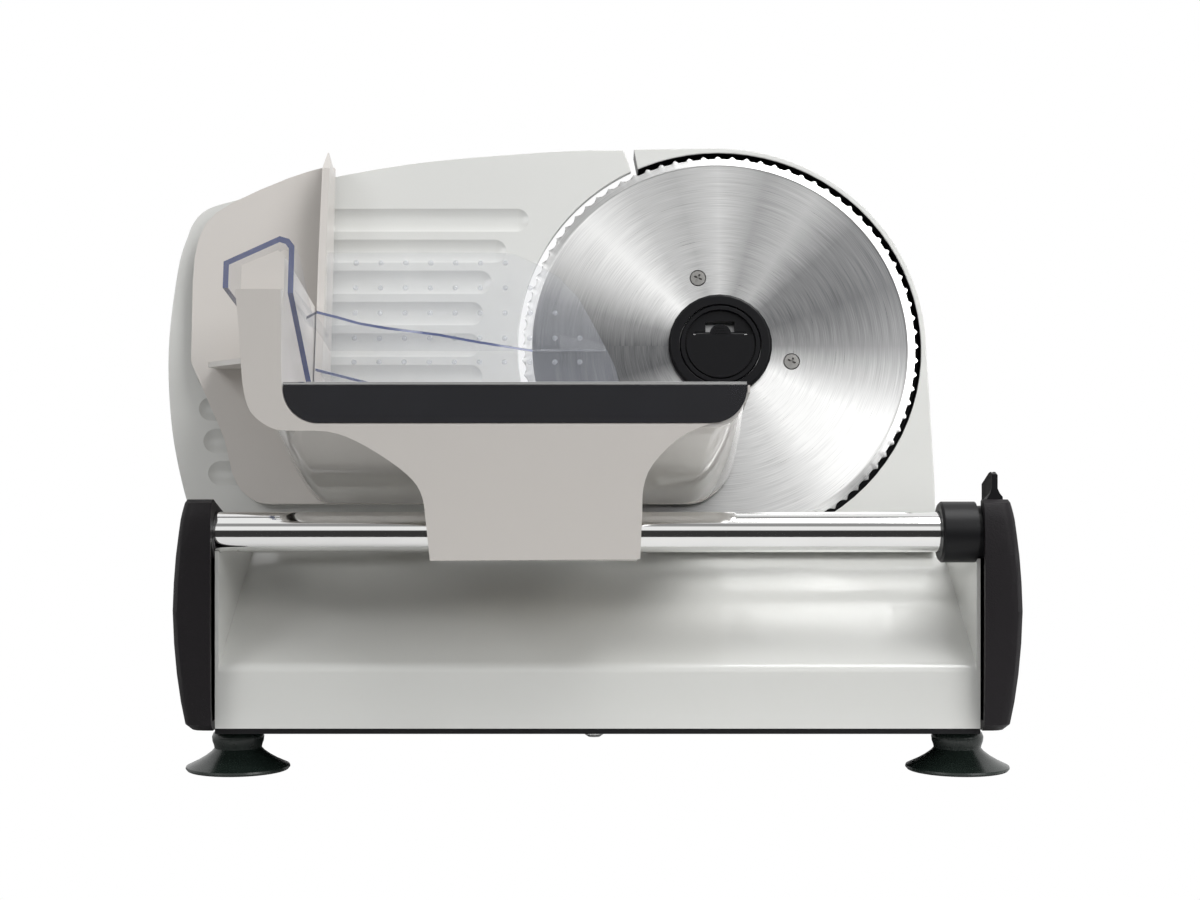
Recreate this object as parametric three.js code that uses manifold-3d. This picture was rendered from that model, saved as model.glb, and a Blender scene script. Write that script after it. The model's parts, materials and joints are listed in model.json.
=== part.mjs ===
// Electric food slicer with a 190 mm serrated blade, a sliding carriage and a thickness gauge.
// Millimetres, +Z up, +Y towards the back. The front of the machine faces -Y.
// The blade, the gauge plate and the drive lean back together, in a frame of their own:
// x across, y along the spindle, z up along the blade, with the blade's centre height at z = 0.

import * as THREE from 'three';
import { mergeVertices } from 'three/addons/utils/BufferGeometryUtils.js';
import Module from 'manifold-3d';

const wasm = await Module();
wasm.setup();

// Clearances
const FIT = 0.3;
const PASS = 0.1;
const BEYOND = 300;

// Lean of the blade and the height of its centre
const LEAN = THREE.MathUtils.degToRad(10);
const BLADE_X = 58.4;
const BLADE_Z = 190.8;

// Base
const BASE_HALF_WIDTH = 165;
const BASE_FRONT_Y = -92;
const BASE_REAR_Y = 115;
const PLATE_BOTTOM_Z = 18.6;
const PLATE_THICKNESS = 2.3;
const FRONT_FACE_TOP_Z = 47.7;
const SLOPE_TOP_Y = -12;
const DECK_Z = 93.7;
const DECK_REAR_Y = 62;
const REAR_FACE_TOP_Z = 60;
const BASE_WALL = 2.4;
const BASE_EDGE_RADIUS = 3;
const CHEEK_THICKNESS = 1.7;
const CHEEK_TOP_Z = 108;
const VENT_SLOTS = 6;
const VENT_PITCH = 9;
const VENT_WIDTH = 4;
const VENT_LENGTH = 44;
const VENT_X = 88;
const VENT_Y = 64;

// Side caps
const CAP_THICKNESS = 17.2;
const CAP_WALL = 2.6;
const CAP_CORNER = 6;
const CAP_FRONT_Y = -102;
const CAP_TOP_Z = 119.8;
const CAP_BOTTOM_Z = 20.6;
const CAP_BOW = 4;

// Feet
const FOOT_INSET = 6;
const FOOT_FRONT_Y = -70;
const FOOT_REAR_Y = 84;
const FOOT_CUP_RADIUS = 22.8;
const FOOT_NECK_RADIUS = 11.3;
const FOOT_SCREW_RADIUS = 2;
const FOOT_SCREW_HEAD = 3.2;

// Rods
const ROD_RADIUS = 8.7;
const ROD_Y = -88;
const ROD_Z = 105.5;
const ROD_REACH = 172;
const BAR_RADIUS = 3;
const BAR_Y = -31;
const BAR_Z = 100;

// Carriage lock
const COLLAR_RADIUS = 13.2;
const COLLAR_X = 147.6;
const TAB_X = 167.6;
const TAB_WIDTH = 7.2;
const TAB_TOP_Z = 131.6;
const TAB_DEPTH = 8;
const TIP_X = 170;
const TIP_WIDTH = 2.6;
const LEVER_RING_RADIUS = 11.4;

// Blade
const BLADE_RADIUS = 95;
const BLADE_THICKNESS = 1.4;
const BLADE_TEETH = 84;
const TOOTH_DEPTH = 2;
const BEVEL_WIDTH = 5;
const BLADE_BORE = 14.6;
const SCREW_CIRCLE = 35;
const SCREW_HEAD_RADIUS = 3.75;
const SCREW_SHANK_RADIUS = 1.9;
const SCREW_ANGLES = [107, -12.6, 227.4];

// Blade hub and lock
const HUB_RADIUS = 24.8;
const HUB_PROUD = 4;
const LOCK_RADIUS = 19.4;
const LOCK_BODY_RADIUS = 14.2;
const POCKET_RADIUS = 17.1;
const POCKET_DEPTH = 2.2;
const FLAP_THICKNESS = 1.7;
const FLAP_HINGE_Z = 4.7;
const FLAP_TAB_RADIUS = 5.2;
const FLAP_BARREL_RADIUS = 1.5;
const FLAP_PIN_RADIUS = 0.7;
const FLAP_HINGE_HALF = 11.6;

// Blade housing and its cover
const RECESS_CLEARANCE = 1.2;
const GUARD_WALL = 2.4;
const GUARD_FLARE = 2;
const HOUSING_FRONT = -0.6;
const RECESS_FLOOR = 8;
const HOUSING_DEPTH = 14;
const BACKING_RADIUS = 79.5;
const HOUSING_FOOT_X = 28;
const COVER_WALL = 2.4;
const COVER_INSET = 4;
const COVER_REAR = 72;
const COVER_LEFT_X = 8;

// Drive
const GEAR_TEETH = 40;
const GEAR_PITCH_RADIUS = 30;
const GEAR_FRONT = 34;
const GEAR_WIDTH = 10;
const GEAR_BORE = 6.3;
const WORM_PITCH_RADIUS = 8;
const WORM_LENGTH = 22;
const THREAD_HEIGHT = 3;
const SPINDLE_RADIUS = 6;
const SPINDLE_REAR = 58;
const BUSH_WALL = 2.5;
const BUSH_REAR = 22;
const CARRIER_RADIUS = 41;
const CARRIER_THICKNESS = 4.4;
const GEAR_HOUSING_WALL = 2.6;
const GEAR_HOUSING_CLEARANCE = 2.4;
const MOTOR_RADIUS = 23;
const MOTOR_LENGTH = 50;
const MOTOR_TOP = -34;
const MOTOR_WALL = 1.6;
const ARMATURE_RADIUS = 17;
const ARMATURE_LENGTH = 19;
const FAN_SPACE = 16;
const COMMUTATOR_RADIUS = 9;
const MOTOR_SHAFT_RADIUS = 3;
const FAN_RADIUS = 20;
const FAN_BLADES = 8;

// Gauge plate and its carrier
const GAUGE_THICKNESS = 3.6;
const GAUGE_GAP = 1.7;
const GAUGE_FOOT = 5.7;
const GAUGE_TIP = 11.34;
const FLUTE_PITCH = 15.5;
const FLUTE_COUNT = 9;
const FLUTE_HEIGHT = 0.9;
const FLUTE_LEFT_INSET = 14;
const FLUTE_RIGHT_INSET = 18;
const FLUTE_TOP = 62.4;
const GAUGE_TRAVEL = 15;
const GAUGE_GUIDE_X = -118;
const GAUGE_GUIDE_Z = -66;
const POST_SPREAD = 27;
const POST_RADIUS = 4;
const GAUGE_BLOCK_DEPTH = 20;
const FOLLOWER_RADIUS = 1.6;
const SUPPORT_DEPTH = 16;
const CAM_RADIUS = 7;
const CAM_SHAFT_RADIUS = 4;
const KNOB_RADIUS = 20;
const KNOB_DEPTH = 17;
const KNOB_GRIPS = 12;

// Carriage
const CARRIAGE_FRONT_Y = -127;
const FRONT_WALL = 5.5;
const TRAY_TOP = -43.4;
const TRAY_THICKNESS = 1;
const TRAY_FRONT_Y = -126.3;
const TRAY_APRON_BOTTOM_Z = 152.2;
const TRAY_APRON_TOP_Z = 168.6;
const TRAY_LEFT_X = -130;
const TRAY_RIGHT_X = 61.8;
const TRAY_CORNER = 14.5;
const SHELL_WALL = 3;
const SHELL_REAR = -5.5;
const HULL_LEFT_X = -136.5;
const HULL_LEFT_CORNER = 11;
const HULL_FRONT_CORNER = 13;
const HULL_REAR_CORNER = 24;
const FENCE_LEFT_X = -149;
const FENCE_RIGHT_X = -131;
const FENCE_TOP = -3.7;
const FENCE_TAPER = 4.6;
const FIN_RIGHT_X = -126.8;
const FIN_THICKNESS = 3.6;
const SHELF_Z = 179.4;
const SHELF_THICKNESS = 2.4;
const BOSS_RADIUS = 12.6;
const BOSS_LEFT_X = -69;
const BOSS_RIGHT_X = 17;
const BUSH_RADIUS = 10.9;
const BUSH_LENGTH = 18;

// Pusher
const PUSHER_WALL = 2.3;
const PUSHER_PLATE = -30;
const PUSHER_LEFT_X = -126.2;
const PUSHER_TOP = 37.7;
const HOOK_FRONT = -119;
const HOOK_OFFSET = 3.2;
const HOOK_REAR = -60;
const RIB_THICKNESS = 1.2;
const UPPER_RIB = -10.6;
const LOWER_RIB = -27.5;

// Switch, inlet and board
const SWITCH_X = 96;
const SWITCH_Z = 40;
const SWITCH_WIDTH = 15;
const SWITCH_HEIGHT = 21;
const ROCKER_PROUD = 4;
const ROCKER_TILT = 8;
const GLAND_X = 118;
const GLAND_Z = 42;
const GLAND_RADIUS = 7;
const BOARD_X = 70;
const BOARD_Y = -20;
const BOARD_WIDTH = 60;
const BOARD_LENGTH = 42;
const BOARD_THICKNESS = 1.6;
const STANDOFF = 6;

const PLATE_TOP_Z = PLATE_BOTTOM_Z + PLATE_THICKNESS;
const machine = new THREE.Group();
const leaning = new THREE.Group();
leaning.position.set(0, 0, BLADE_Z);
leaning.rotation.x = -LEAN;
machine.add(leaning);
const leanMatrix = new THREE.Matrix4().makeRotationX(-LEAN).setPosition(0, 0, BLADE_Z);
const uprightMatrix = leanMatrix.clone().invert();

// Materials
function finish(color, roughness, metalness = 0) {
  return new THREE.MeshStandardMaterial({ color, roughness, metalness });
}
const PAINT = finish(0xd8d8d4, 0.42);
const CARRIAGE_PLASTIC = finish(0xdcd7d0, 0.45);
const BLACK_PLASTIC = finish(0x1e1c1e, 0.6);
const GLOSS_BLACK = finish(0x131315, 0.25);
const CHROME = finish(0xc9c9c9, 0.12, 1);
const BRUSHED_STEEL = finish(0xb9bbbd, 0.32, 1);
const POLISHED_STEEL = finish(0x8d8f94, 0.08, 1);
const CLEAR_PLASTIC = finish(0xdfe8f5, 0.1);
const RUBBER = finish(0x18211c, 0.5);
const STEEL = finish(0x9a9a9a, 0.4, 1);
const BRASS = finish(0xb59a55, 0.35, 1);
const NYLON = finish(0xe6e2d6, 0.5);
const BOARD_GREEN = finish(0x1f5a38, 0.5);

// Turns a closed three.js geometry into a solid, with its faces pointing out
function solid(geometry) {
  const bare = new THREE.BufferGeometry();
  bare.setAttribute('position', geometry.getAttribute('position').clone());
  if (geometry.getIndex()) bare.setIndex(geometry.getIndex().clone());
  const merged = mergeVertices(bare, 1e-4);
  const at = merged.getAttribute('position').array;
  const index = merged.getIndex().array;
  const kept = [];
  let volume = 0;
  for (let i = 0; i < index.length; i += 3) {
    const [a, b, c] = [index[i], index[i + 1], index[i + 2]];
    if (a === b || b === c || c === a) continue;
    kept.push(a, b, c);
    const [p, q, r] = [a, b, c].map((k) => new THREE.Vector3().fromArray(at, 3 * k));
    volume += p.dot(q.cross(r));
  }
  if (volume < 0) kept.reverse();
  const mesh = { numProp: 3, vertProperties: new Float32Array(at), triVerts: new Uint32Array(kept) };
  return new wasm.Manifold(new wasm.Mesh(mesh));
}

// Hangs one named piece in a group
function piece(name, body, material, group = machine) {
  const mesh = body.getMesh();
  const geometry = new THREE.BufferGeometry();
  geometry.setAttribute('position', new THREE.BufferAttribute(mesh.vertProperties, 3));
  geometry.setIndex(new THREE.BufferAttribute(mesh.triVerts, 1));
  geometry.computeVertexNormals();
  const shown = new THREE.Mesh(geometry, material);
  shown.name = name;
  group.add(shown);
  return shown;
}

function union(bodies) {
  return bodies.reduce((all, body) => all.add(body));
}

function box(x0, x1, y0, y1, z0, z1) {
  const geometry = new THREE.BoxGeometry(x1 - x0, y1 - y0, z1 - z0);
  geometry.translate((x0 + x1) / 2, (y0 + y1) / 2, (z0 + z1) / 2);
  return geometry;
}

function outline(points) {
  return new THREE.Shape(points.map(([u, v]) => new THREE.Vector2(u, v)));
}

// Points along a smooth curve through the given ones
function smooth(points, steps = 3) {
  const curve = new THREE.SplineCurve(points.map(([u, v]) => new THREE.Vector2(u, v)));
  return curve.getPoints((points.length - 1) * steps).map(({ x, y }) => [x, y]);
}

// Extrusions of an outline drawn in the front view (x, z), the side view (y, z) or from above (x, y)
function frontPlate(shape, y0, y1, curveSegments = 24) {
  const geometry = new THREE.ExtrudeGeometry(shape, { depth: y1 - y0, bevelEnabled: false, curveSegments });
  return geometry.rotateX(Math.PI / 2).translate(0, y1, 0);
}

function sidePlate(shape, x0, x1, curveSegments = 12) {
  const geometry = new THREE.ExtrudeGeometry(shape, { depth: x1 - x0, bevelEnabled: false, curveSegments });
  const axes = [new THREE.Vector3(0, 1, 0), new THREE.Vector3(0, 0, 1), new THREE.Vector3(1, 0, 0)];
  return geometry.applyMatrix4(new THREE.Matrix4().makeBasis(...axes)).translate(x0, 0, 0);
}

function flatPlate(shape, z0, z1, curveSegments = 12) {
  const geometry = new THREE.ExtrudeGeometry(shape, { depth: z1 - z0, bevelEnabled: false, curveSegments });
  return geometry.translate(0, 0, z0);
}

// A turned piece: profile of [radius, distance along the axis] through a point
function turned(profile, axis, centre, segments = 32) {
  const points = profile.map(([radius, along]) => new THREE.Vector2(radius, along));
  if (profile[0][0] > 0) points.push(points[0].clone());
  const geometry = new THREE.LatheGeometry(points, segments);
  if (axis === 'z') geometry.rotateX(Math.PI / 2);
  if (axis === 'x') geometry.rotateZ(-Math.PI / 2);
  return geometry.translate(...centre);
}

function rod(radius, from, to, axis, centre, segments = 24) {
  return turned([[0, from], [radius, from], [radius, to], [0, to]], axis, centre, segments);
}

function tube(inner, outer, from, to, axis, centre, segments = 24) {
  return turned([[inner, from], [outer, from], [outer, to], [inner, to]], axis, centre, segments);
}

// A closed skin through rings of points, each ring with as many points as the next
function loft(rings) {
  const count = rings[0].length;
  const positions = rings.flat().flatMap((point) => point);
  const index = [];
  for (let r = 0; r + 1 < rings.length; r += 1) {
    for (let i = 0; i < count; i += 1) {
      const j = (i + 1) % count;
      const [a, b] = [r * count + i, r * count + j];
      index.push(a, b, a + count, b, b + count, a + count);
    }
  }
  for (const [ring, flip] of [[0, true], [rings.length - 1, false]]) {
    const start = ring * count;
    for (let i = 1; i + 1 < count; i += 1) {
      if (flip) index.push(start, start + i + 1, start + i);
      else index.push(start, start + i, start + i + 1);
    }
  }
  const geometry = new THREE.BufferGeometry();
  geometry.setAttribute('position', new THREE.Float32BufferAttribute(positions, 3));
  geometry.setIndex(index);
  return geometry;
}

const leaned = (geometry) => geometry.applyMatrix4(leanMatrix);
const upright = (geometry) => geometry.applyMatrix4(uprightMatrix);
const spindleAxis = [BLADE_X, 0, 0];

// The recess, the guard round it and the gauge plate's arc all follow the blade's edge
const recessRadius = BLADE_RADIUS + RECESS_CLEARANCE;
const guardRadius = recessRadius + GUARD_WALL;
const guardRightX = BLADE_X + guardRadius + GUARD_FLARE;
const gaugeArcRadius = BLADE_RADIUS + GAUGE_GAP;
const gaugeBottom = GAUGE_FOOT - gaugeArcRadius;

function polar(angle, radius) {
  const turn = THREE.MathUtils.degToRad(angle);
  return [BLADE_X + radius * Math.cos(turn), radius * Math.sin(turn)];
}

// Base housing: a folded shell, open below, with a cheek at each end
function baseProfile(inset) {
  const slopeTop = DECK_Z - 1.6;
  const shape = new THREE.Shape();
  shape.moveTo(BASE_FRONT_Y + inset, PLATE_TOP_Z - (inset ? 1 : 0));
  shape.lineTo(BASE_FRONT_Y + inset, FRONT_FACE_TOP_Z - BASE_EDGE_RADIUS);
  shape.quadraticCurveTo(
    BASE_FRONT_Y + inset, FRONT_FACE_TOP_Z - inset / 2,
    BASE_FRONT_Y + inset / 2 + BASE_EDGE_RADIUS, FRONT_FACE_TOP_Z - inset + BASE_EDGE_RADIUS * 0.6,
  );
  shape.lineTo(SLOPE_TOP_Y, slopeTop - inset);
  shape.lineTo(SLOPE_TOP_Y + 1, DECK_Z - inset);
  shape.lineTo(DECK_REAR_Y - inset / 2, DECK_Z - inset);
  shape.lineTo(BASE_REAR_Y - inset, REAR_FACE_TOP_Z - inset / 2);
  shape.lineTo(BASE_REAR_Y - inset, PLATE_TOP_Z - (inset ? 1 : 0));
  shape.closePath();
  return shape;
}

const baseScrews = [[-1.6, BASE_FRONT_Y + 9], [-1.6, BASE_REAR_Y - 14]];

function baseHousing() {
  const inner = BASE_HALF_WIDTH - BASE_WALL;
  let body = solid(sidePlate(baseProfile(0), -BASE_HALF_WIDTH, BASE_HALF_WIDTH, 4));
  body = body.subtract(solid(sidePlate(baseProfile(BASE_WALL), -inner, inner, 4)));
  const cheek = outline([
    [BASE_FRONT_Y, FRONT_FACE_TOP_Z - 8], [BASE_FRONT_Y, CHEEK_TOP_Z], [-60, CHEEK_TOP_Z - 2],
    [BAR_Y - 4, BAR_Z + 3.5], [BAR_Y + 6, DECK_Z + 0.8], [DECK_REAR_Y - 6, DECK_Z + 0.8],
    [DECK_REAR_Y - 6, DECK_Z - 8], [SLOPE_TOP_Y, DECK_Z - 8],
  ]);
  for (const side of [-1, 1]) {
    const [x0, x1] = [side * BASE_HALF_WIDTH, side * (BASE_HALF_WIDTH - CHEEK_THICKNESS)];
    body = body.add(solid(sidePlate(cheek, Math.min(x0, x1), Math.max(x0, x1))));
  }
  const reach = BASE_HALF_WIDTH + 1;
  body = body.subtract(solid(rod(BAR_RADIUS + FIT, -reach, reach, 'x', [0, BAR_Y, BAR_Z])));
  body = body.subtract(solid(rod(ROD_RADIUS + FIT, -reach, 0, 'x', [0, ROD_Y, ROD_Z])));
  body = body.subtract(solid(rod(LEVER_RING_RADIUS + 2 * FIT, 0, reach, 'x', [0, ROD_Y, ROD_Z], 32)));
  for (const [x, y] of baseScrews) {
    const top = y < 0 ? FRONT_FACE_TOP_Z : REAR_FACE_TOP_Z + 4;
    body = body.add(solid(rod(4, PLATE_TOP_Z, top, 'z', [x, y, 0], 16)));
    body = body.subtract(solid(rod(1.8, PLATE_TOP_Z - 1, PLATE_TOP_Z + 16, 'z', [x, y, 0], 12)));
  }
  const glandHole = rod(GLAND_RADIUS + FIT, BASE_REAR_Y - 10, BASE_REAR_Y + 10, 'y', [GLAND_X, 0, GLAND_Z]);
  return body.subtract(solid(glandHole));
}
piece('base_housing', baseHousing(), PAINT);

const feet = [];
const footX = BASE_HALF_WIDTH - FOOT_INSET;
for (const [end, y] of [['front', FOOT_FRONT_Y], ['rear', FOOT_REAR_Y]]) {
  for (const [side, x] of [['left', -footX], ['right', footX]]) feet.push({ name: `${end}_${side}`, x, y });
}

function bottomPlate() {
  let body = solid(box(
    -BASE_HALF_WIDTH, BASE_HALF_WIDTH, BASE_FRONT_Y, BASE_REAR_Y, PLATE_BOTTOM_Z, PLATE_TOP_Z,
  ));
  for (let i = 0; i < VENT_SLOTS; i += 1) {
    const x = VENT_X + (i - (VENT_SLOTS - 1) / 2) * VENT_PITCH;
    const slot = [
      x - VENT_WIDTH / 2, x + VENT_WIDTH / 2, VENT_Y - VENT_LENGTH / 2, VENT_Y + VENT_LENGTH / 2,
    ];
    body = body.subtract(solid(box(...slot, PLATE_BOTTOM_Z - 1, PLATE_TOP_Z + 1)));
  }
  for (const { x, y } of feet) {
    const hole = rod(FOOT_SCREW_RADIUS + FIT, PLATE_BOTTOM_Z - 1, PLATE_TOP_Z + 1, 'z', [x, y, 0], 10);
    body = body.subtract(solid(hole));
  }
  for (const [x, y] of baseScrews) {
    body = body.subtract(solid(rod(1.8, PLATE_BOTTOM_Z - 1, PLATE_TOP_Z + 1, 'z', [x, y, 0], 12)));
  }
  for (const sx of [-1, 1]) {
    for (const sy of [-1, 1]) {
      const at = [BOARD_X + sx * (BOARD_WIDTH / 2 - 4), BOARD_Y + sy * (BOARD_LENGTH / 2 - 4), 0];
      body = body.add(solid(rod(2.2, PLATE_TOP_Z - 1, PLATE_TOP_Z + STANDOFF, 'z', at, 8)));
    }
  }
  return body;
}
piece('bottom_plate', bottomPlate(), BLACK_PLASTIC);

function panScrew(x, y) {
  const profile = [
    [0, PLATE_BOTTOM_Z - 2.6], [2.6, PLATE_BOTTOM_Z - 2.3], [4.6, PLATE_BOTTOM_Z - 1],
    [4.7, PLATE_BOTTOM_Z], [1.5, PLATE_BOTTOM_Z], [1.5, PLATE_TOP_Z + 12], [0, PLATE_TOP_Z + 12],
  ];
  return solid(turned(profile, 'z', [x, y, 0], 12));
}
piece('base_screw_front', panScrew(...baseScrews[0]), STEEL);
piece('base_screw_rear', panScrew(...baseScrews[1]), STEEL);

// Suction feet, each on a screw through the bottom plate
function suctionFoot(x, y) {
  const neck = FOOT_NECK_RADIUS;
  const cup = FOOT_CUP_RADIUS;
  const profile = [
    [0, 6], [cup - 2.2, 0], [cup - 0.8, 0], [cup, 1.1], [cup * 0.64, 6.3], [neck - 1.1, 10],
    [neck - 0.1, 12.4], [neck, 14.8], [neck - 1.8, 17], [neck - 1.8, PLATE_BOTTOM_Z], [0, PLATE_BOTTOM_Z],
  ];
  const hole = rod(FOOT_SCREW_RADIUS + FIT, PLATE_BOTTOM_Z - 9, PLATE_BOTTOM_Z + 1, 'z', [x, y, 0], 10);
  return solid(turned(profile, 'z', [x, y, 0], 16)).subtract(solid(hole));
}

function footScrew(x, y) {
  const profile = [
    [0, PLATE_BOTTOM_Z - 8], [FOOT_SCREW_RADIUS, PLATE_BOTTOM_Z - 8], [FOOT_SCREW_RADIUS, PLATE_TOP_Z],
    [FOOT_SCREW_HEAD, PLATE_TOP_Z], [FOOT_SCREW_HEAD, PLATE_TOP_Z + 2], [0, PLATE_TOP_Z + 2.6],
  ];
  return solid(turned(profile, 'z', [x, y, 0], 10));
}
for (const { name, x, y } of feet) {
  piece(`suction_foot_${name}`, suctionFoot(x, y), RUBBER);
  piece(`foot_screw_${name}`, footScrew(x, y), STEEL);
}

// Side caps: slices of [height, front, rear, share of the bow], with rounded outer corners
function capSlices(inset) {
  const slices = [
    [CAP_BOTTOM_Z, CAP_FRONT_Y + 6, BASE_REAR_Y - 3, 1.8],
    [CAP_BOTTOM_Z + 3, CAP_FRONT_Y + 1.6, BASE_REAR_Y + 0.5, 1.24],
    [33, CAP_FRONT_Y + 0.6, BASE_REAR_Y + 0.8, 0.82], [45, CAP_FRONT_Y, BASE_REAR_Y + 1, 0.42],
    [58, CAP_FRONT_Y - 0.3, 107.3, 0.14], [72, CAP_FRONT_Y - 0.5, 98, 0], [84, CAP_FRONT_Y - 0.5, 79, 0.12],
    [DECK_Z + 1, CAP_FRONT_Y - 0.4, 62, 0.32], [DECK_Z + 2.6, CAP_FRONT_Y - 0.4, BAR_Y + 9, 0.36],
    [BAR_Z + 5.2, CAP_FRONT_Y, BAR_Y - 2, 0.62], [CAP_TOP_Z - 8.8, CAP_FRONT_Y + 0.4, -60, 0.8],
    [CAP_TOP_Z - 5.8, CAP_FRONT_Y + 0.9, -74, 0.94], [CAP_TOP_Z - 3.2, CAP_FRONT_Y + 1.6, -83.5, 1.08],
    [CAP_TOP_Z - 1.4, CAP_FRONT_Y + 2.6, -90, 1.25], [CAP_TOP_Z, CAP_FRONT_Y + 5.4, -94.4, 1.55],
  ];
  if (!inset) return slices;
  return slices.slice(1, -3).map(([z, front, rear, bow], i) => [
    i === 0 ? z + inset / 2 : z - (z > 80 ? inset : 0), front + inset, rear - inset, bow,
  ]);
}

function capRing([z, front, rear, bow], side, inset) {
  const outer = BASE_HALF_WIDTH + CAP_THICKNESS - bow * CAP_BOW - inset;
  const inner = BASE_HALF_WIDTH - (inset ? 1 : 0);
  const radius = Math.min(CAP_CORNER, (rear - front) / 2.1);
  const ring = [[inner, front, z]];
  for (let i = 0; i <= 3; i += 1) {
    const turn = (i / 3) * Math.PI / 2;
    ring.push([outer - radius + radius * Math.sin(turn), front + radius - radius * Math.cos(turn), z]);
  }
  for (let i = 0; i <= 3; i += 1) {
    const turn = (i / 3) * Math.PI / 2;
    ring.push([outer - radius + radius * Math.cos(turn), rear - radius + radius * Math.sin(turn), z]);
  }
  ring.push([inner, rear, z]);
  return ring.map(([x, y, height]) => [side * x, y, height]);
}

function sideCap(side) {
  let body = solid(loft(capSlices(0).map((slice) => capRing(slice, side, 0))));
  const core = solid(loft(capSlices(CAP_WALL).map((slice) => capRing(slice, side, CAP_WALL))));
  const ends = (a, b) => [Math.min(side * a, side * b), Math.max(side * a, side * b)];
  const [b0, b1] = ends(BASE_HALF_WIDTH, BASE_HALF_WIDTH + CAP_THICKNESS - 4);
  const bosses = union([
    solid(rod(ROD_RADIUS + 3, b0, b1, 'x', [0, ROD_Y, ROD_Z])),
    solid(rod(BAR_RADIUS + 2.6, b0, b1, 'x', [0, BAR_Y, BAR_Z], 16)),
  ]);
  body = body.subtract(core.subtract(bosses));
  const [r0, r1] = ends(BASE_HALF_WIDTH - 1, ROD_REACH + FIT);
  body = body.subtract(solid(rod(ROD_RADIUS + FIT, r0, r1, 'x', [0, ROD_Y, ROD_Z])));
  body = body.subtract(solid(rod(BAR_RADIUS + FIT, r0, r1, 'x', [0, BAR_Y, BAR_Z], 16)));
  if (side > 0) {
    const wellEnd = TAB_X + TAB_WIDTH + 2 * FIT;
    const ring = LEVER_RING_RADIUS + 2 * FIT;
    const well = union([
      solid(rod(ring, BASE_HALF_WIDTH - 1, wellEnd, 'x', [0, ROD_Y, ROD_Z], 32)),
      solid(box(BASE_HALF_WIDTH - 1, wellEnd, ROD_Y - 4, ROD_Y + 25, ROD_Z, CAP_TOP_Z + 20)),
    ]);
    body = body.subtract(well);
  }
  return body;
}
piece('left_side_cap', sideCap(-1), BLACK_PLASTIC);
piece('right_side_cap', sideCap(1), BLACK_PLASTIC);

// Guide rod, rear guide bar and the carriage lock that turns on the rod's right end
const rodProfile = [
  [0, -ROD_REACH], [ROD_RADIUS - 1, -ROD_REACH], [ROD_RADIUS, 1 - ROD_REACH],
  [ROD_RADIUS, ROD_REACH - 1], [ROD_RADIUS - 1, ROD_REACH], [0, ROD_REACH],
];
piece('guide_rod', solid(turned(rodProfile, 'x', [0, ROD_Y, ROD_Z], 32)), CHROME);
piece('rear_guide_bar', solid(rod(BAR_RADIUS, -ROD_REACH, ROD_REACH, 'x', [0, BAR_Y, BAR_Z], 16)), STEEL);

function lockLever() {
  const neckStart = BASE_HALF_WIDTH - CHEEK_THICKNESS - FIT;
  const profile = [
    [ROD_RADIUS + FIT, COLLAR_X], [COLLAR_RADIUS - 1, COLLAR_X], [COLLAR_RADIUS, COLLAR_X + 1],
    [COLLAR_RADIUS, neckStart], [LEVER_RING_RADIUS, neckStart],
    [LEVER_RING_RADIUS, TAB_X + TAB_WIDTH], [ROD_RADIUS + FIT, TAB_X + TAB_WIDTH],
  ];
  const ring = solid(turned(profile, 'x', [0, ROD_Y, ROD_Z], 32));
  const foot = ROD_Z + ROD_RADIUS + 1.4;
  const front = ROD_Y - 3;
  const rear = front + TAB_DEPTH;
  const tabRight = TAB_X + TAB_WIDTH;
  const tipRight = TIP_X + TIP_WIDTH;
  const tab = outline([
    [TAB_X, foot], [TAB_X, TAB_TOP_Z - 12.2], [TIP_X - 0.7, TAB_TOP_Z - 9.4], [TIP_X, TAB_TOP_Z - 6.6],
    [TIP_X, TAB_TOP_Z - 1.2], [TIP_X + 0.7, TAB_TOP_Z], [tipRight - 0.9, TAB_TOP_Z], [tipRight, TAB_TOP_Z - 1.5],
    [tipRight, TAB_TOP_Z - 7.2], [tipRight + 0.9, TAB_TOP_Z - 9.2], [tabRight, TAB_TOP_Z - 10.8], [tabRight, foot],
  ]);
  const flank = outline([[TIP_X + 0.1, front], [TIP_X + 0.1, rear], [TAB_X - 0.4, rear]]);
  const slope = outline([
    [front, foot], [front, TAB_TOP_Z - 1], [front + 1, TAB_TOP_Z], [front + 2.4, TAB_TOP_Z - 0.4],
    [rear, TAB_TOP_Z - 5.4], [rear, foot],
  ]);
  const thumb = solid(frontPlate(tab, front, rear)).add(solid(flatPlate(flank, foot, TAB_TOP_Z)));
  return ring.add(thumb.intersect(solid(sidePlate(slope, TAB_X - 1, tabRight))));
}
piece('carriage_lock_lever', lockLever(), BLACK_PLASTIC);

// Blade housing: guard panel with the round recess, and a backing disc behind the blade
function guardOutline() {
  const shape = new THREE.Shape();
  shape.moveTo(17.4, guardRadius - 0.5);
  shape.lineTo(BLADE_X - 4, guardRadius);
  shape.lineTo(BLADE_X, guardRadius);
  shape.absarc(BLADE_X, 0, guardRadius, Math.PI / 2, 0, true);
  shape.lineTo(guardRightX, -64);
  shape.lineTo(guardRightX, -guardRadius - 20);
  shape.lineTo(HOUSING_FOOT_X, -guardRadius - 20);
  const across = HOUSING_FOOT_X - BLADE_X;
  const low = Math.atan2(-Math.sqrt(BACKING_RADIUS ** 2 - across ** 2), across);
  const high = THREE.MathUtils.degToRad(114.5);
  shape.absarc(BLADE_X, 0, BACKING_RADIUS, low, high - 2 * Math.PI, true);
  shape.lineTo(19.8, 85.5);
  shape.closePath();
  return shape;
}

function aboveDeck(body) {
  return body.subtract(solid(upright(box(-BEYOND, BEYOND, -BEYOND, BEYOND, 0, DECK_Z + FIT))));
}

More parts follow.
